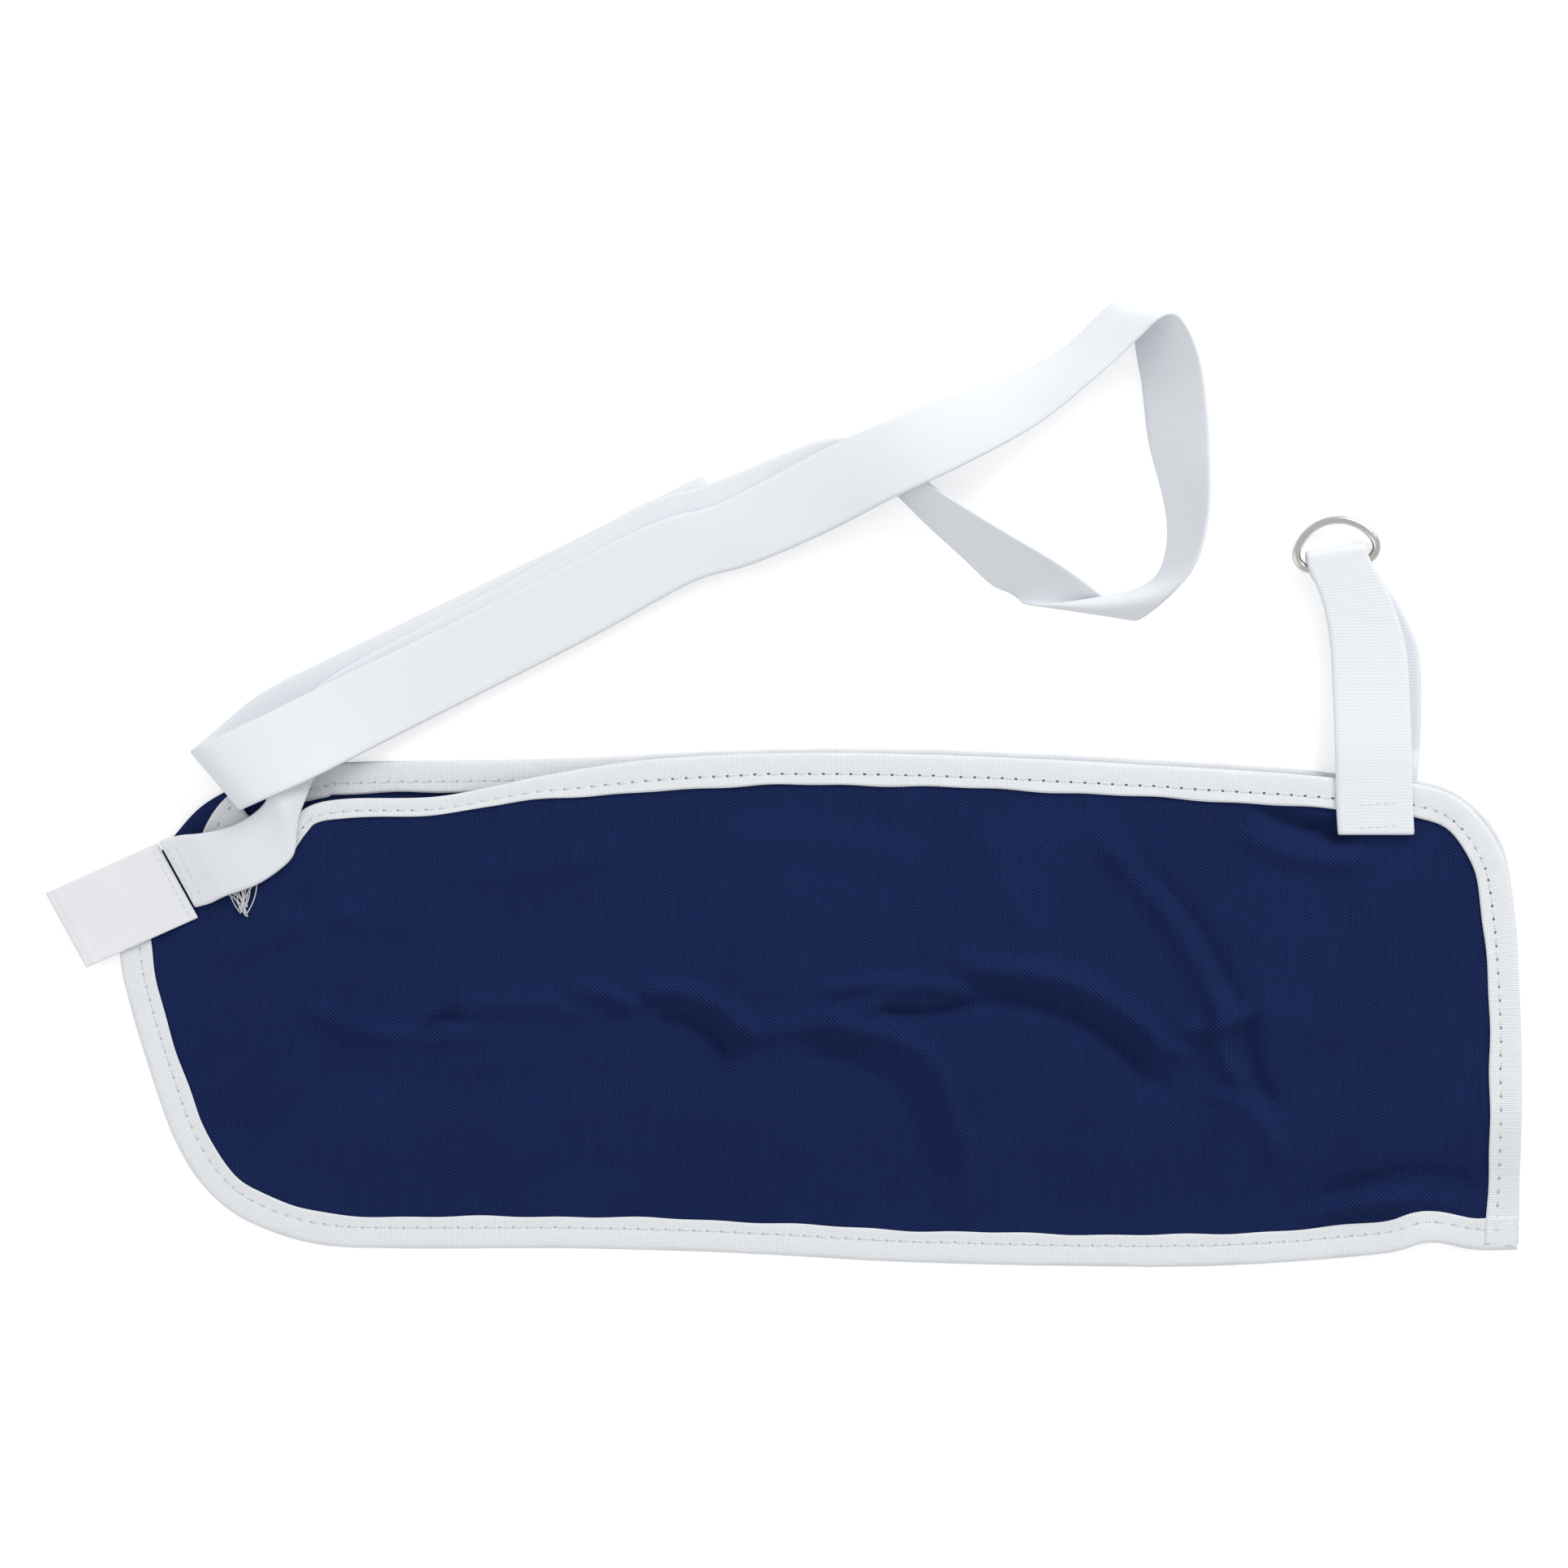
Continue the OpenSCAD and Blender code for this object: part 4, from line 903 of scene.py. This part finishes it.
def hookPatch():
    a, b = np.meshgrid(np.linspace(-51.5, -1.5, 60), np.linspace(-11.5, 11.5, 26), indexing="ij")
    x = hookAt[0] + a * math.cos(hookTurn) - b * math.sin(hookTurn)
    y = hookAt[1] + a * math.sin(hookTurn) + b * math.cos(hookTurn)
    piece = outward(shell("hookPatch", np.dstack([x, y, np.full_like(x, 0.62)]), 0.8, np.dstack([a, b]),
        hookFinish))
    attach(piece, "strap")
    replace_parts(piece, "hook_patch")
    thread = []
    for k, offset in enumerate((-9.2, 9.2)):
        ends = np.array([[hookAt[0] + t * math.cos(hookTurn) - offset * math.sin(hookTurn),
            hookAt[1] + t * math.sin(hookTurn) + offset * math.cos(hookTurn)] for t in (-50, -3)])
        row = stitches("hookThread%d" % k, resample(ends, 30), 1, flatLevel(2.36), 1.0, 0.0, 3.4)
        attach(row, "strap")
        thread.append(row)
    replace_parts(thread[0], "hook_stitching")


hookPatch()
print("webbing ready")


# ring
def ringPiece():
    # a bent wire: straight bar, two corners and one crown arc, all meeting without a kink
    half = ring["width"] / 2 - ring["corner"]
    h, c = ring["height"], ring["corner"]
    crownY = ((h - c) ** 2 - half ** 2 - c ** 2) / (2 * (h - 2 * c))
    crownR = h - crownY
    lean = math.atan2(c - crownY, half)
    right = [(half + c * math.cos(a), c + c * math.sin(a)) for a in np.linspace(-math.pi / 2, lean, 40)]
    crown = [(crownR * math.cos(a), crownY + crownR * math.sin(a)) for a in np.linspace(lean, math.pi - lean,
        90)[1:-1]]
    left = [(-x, y) for x, y in right[::-1]]
    bar = [(x, 0.0) for x in np.linspace(-half, half, 40)[1:-1]]
    line = np.array(right + crown + left + bar)
    ahead = np.roll(line, -1, 0) - np.roll(line, 1, 0)
    ahead /= np.linalg.norm(ahead, axis=1)[:, None]
    out = np.stack([ahead[:, 1], -ahead[:, 0]], 1)
    a = np.arange(28) / 28 * 2 * math.pi
    s = lengths(np.concatenate([line, line[:1]]))[:-1]
    # the wire is butted and welded in the middle of the bar: a shallow swelling
    weld = np.exp(-((line[:, 0]) / 0.9) ** 2) * (line[:, 1] < 0.5)
    r = ring["wire"] / 2 * (1 + 0.035 * weld)
    local = line[:, None] + out[:, None] * (r[:, None] * np.cos(a)[None])[..., None]
    z = r[:, None] * np.sin(a)[None]
    world = ring["at"] + local[..., :1] * barDir + local[..., 1:] * ringDir + z[..., None] * np.array([0, 0, 1.0])
    rows, cols = world.shape[:2]
    i, j = np.meshgrid(np.arange(rows), np.arange(cols), indexing="ij")
    faces = np.stack([i * cols + j, i * cols + (j + 1) % cols, ((i + 1) % rows) * cols + (j + 1) % cols,
        ((i + 1) % rows) * cols + j], 2).reshape(-1, 4)
    uv = np.dstack([np.repeat(s[:, None], cols, 1), np.repeat((a * 1.55)[None], rows, 0)]).reshape(-1, 2) * mm
    piece = outward(pieceFrom("dRing", world.reshape(-1, 3), faces, uv, wireFinish))
    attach(piece, "ring")
    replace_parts(piece, "d_ring")


ringPiece()


# label
label = dict(at=np.array([-216, -20.6]), width=29.0, length=41.6, thick=0.35, z=seamTop + 0.3 + 0.8)
labelAcross = np.array([12.1, -22.1]) / math.hypot(12.1, 22.1)
labelOut = np.array([-40.7, -18.2]) / math.hypot(40.7, 18.2)


def labelPiece():
    # a bare satin label with heat-cut edges, curling a little at its free corners
    a, b = np.meshgrid(np.linspace(-0.25, label["length"], 54), np.linspace(0, label["width"], 40), indexing="ij")
    xy = label["at"] + a[..., None] * labelOut + b[..., None] * labelAcross
    far = smooth((a - 14) / (label["length"] - 14))
    curl = 1.0 * far * (0.5 + 0.5 * np.cos(b / label["width"] * math.pi * 1.6)) + 0.25 * np.sin(a / 7.5) * far
    fold = 0.22 * np.exp(-((a - label["length"] + 3.2) / 0.8) ** 2)
    z = label["z"] + 0.2 + curl + fold
    piece = outward(shell("label", np.dstack([xy, z]), label["thick"], np.dstack([a, b]), labelFinish))
    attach(piece, "label")
    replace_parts(piece, "label")
    ends = np.array([label["at"] + labelAcross * 1.5 + labelOut * 2,
        label["at"] + labelAcross * 27.5 + labelOut * 2])
    thread = stitches("labelThread", resample(ends, 30), 1, flatLevel(label["z"] + 0.42), 1.0, 0.0, 2.6, (2.0,
        0.36, 0.2))
    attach(thread, "label")
    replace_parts(thread, "label_stitching")


labelPiece()


# thread on the tab and strap
tabThread = []
for k, y in enumerate((-6.7, -14.5)):
    row = stitches("tabThread%d" % k, resample(np.array([[197.2, y - 0.6], [212.2, y + 0.3]]), 30), 1,
        flatLevel(10.77), 1.0, 0.0, 2.7, (2.2, 0.34, 0.2))
    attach(row, "flap")
    tabThread.append(row)
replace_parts(tabThread[0], "tab_stitching")


def acrossStrap(name, t):
    # thread across the strap's sewn end, following its slope
    i = t * 9
    a, b = strapRun[int(i)]
    ends = np.array([a * 0.9 + b * 0.1, a * 0.1 + b * 0.9])
    z0, z1 = ends[0, 2], ends[1, 2]
    span = np.hypot(*(ends[1, :2] - ends[0, :2]))
    direction = (ends[1, :2] - ends[0, :2]) / span

    def level(x, y):
        along = (x - ends[0, 0]) * direction[0] + (y - ends[0, 1]) * direction[1]
        return z0 + (z1 - z0) * along / span + 0.62

    row = stitches(name, resample(ends[:, :2], 30), 1, level, 1.0, 0.0, 2.7, (2.2, 0.36, 0.24))
    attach(row, "strap")
    return row


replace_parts(acrossStrap("strapThreadOuter", 0.3), "strap_stitching")
acrossStrap("strapThreadInner", 0.75)


# frayed ends under the strap's cut edge
def looseThread(name, points, thick):
    line = curve(points, 10)
    ahead = np.gradient(line, axis=0)
    ahead /= np.linalg.norm(ahead, axis=1)[:, None]
    side = np.cross(ahead, [0, 0, 1.0])
    side /= np.linalg.norm(side, axis=1)[:, None] + 1e-9
    up = np.cross(side, ahead)
    a = np.arange(6) / 6 * 2 * math.pi
    r = thick / 2
    tube = line[:, None] + r * (np.cos(a)[None, :, None] * side[:, None] + np.sin(a)[None, :, None] * up[:, None])
    uv = np.dstack([np.repeat(lengths(line)[:, None], 6, 1), np.repeat(a[None], len(line), 0)])
    piece = outward(sweptLoop(name, tube, uv, threadFinish))
    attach(piece, "strap")


def clothTop(x, y):
    return float(frontUnder(np.array([x]), np.array([y]))[0]) + pouch["panel"] + 0.8


# a tongue of unravelled yarns under the cut edge, narrowing to a tip
for k in range(15):
    share = k / 14
    root = np.array([-193.0 + 12.0 * share, -36.0 + 2.2 * share])
    tip = np.array([-185.6 + 1.5 * math.sin(k * 2.3), -43.6 + 1.7 * math.sin(k * 1.1 + 1)])
    sway = 0.9 * math.sin(k * 1.9)
    points = []
    for t in (0, 0.35, 0.7, 1.0):
        x, y = root * (1 - t) + tip * t + np.array([sway * math.sin(t * 3), 0.4 * sway * t])
        points.append((x, y, clothTop(x, y) + 0.25 * math.sin(t * 4 + k)))
    looseThread("fray%d" % k, points, 0.42)
print("small pieces ready")


# the front panel with its tape and thread, and the ring tab, have their placement baked into their meshes
for piece in (front, frontTape, frontThread):
    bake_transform(piece)
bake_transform(tab)
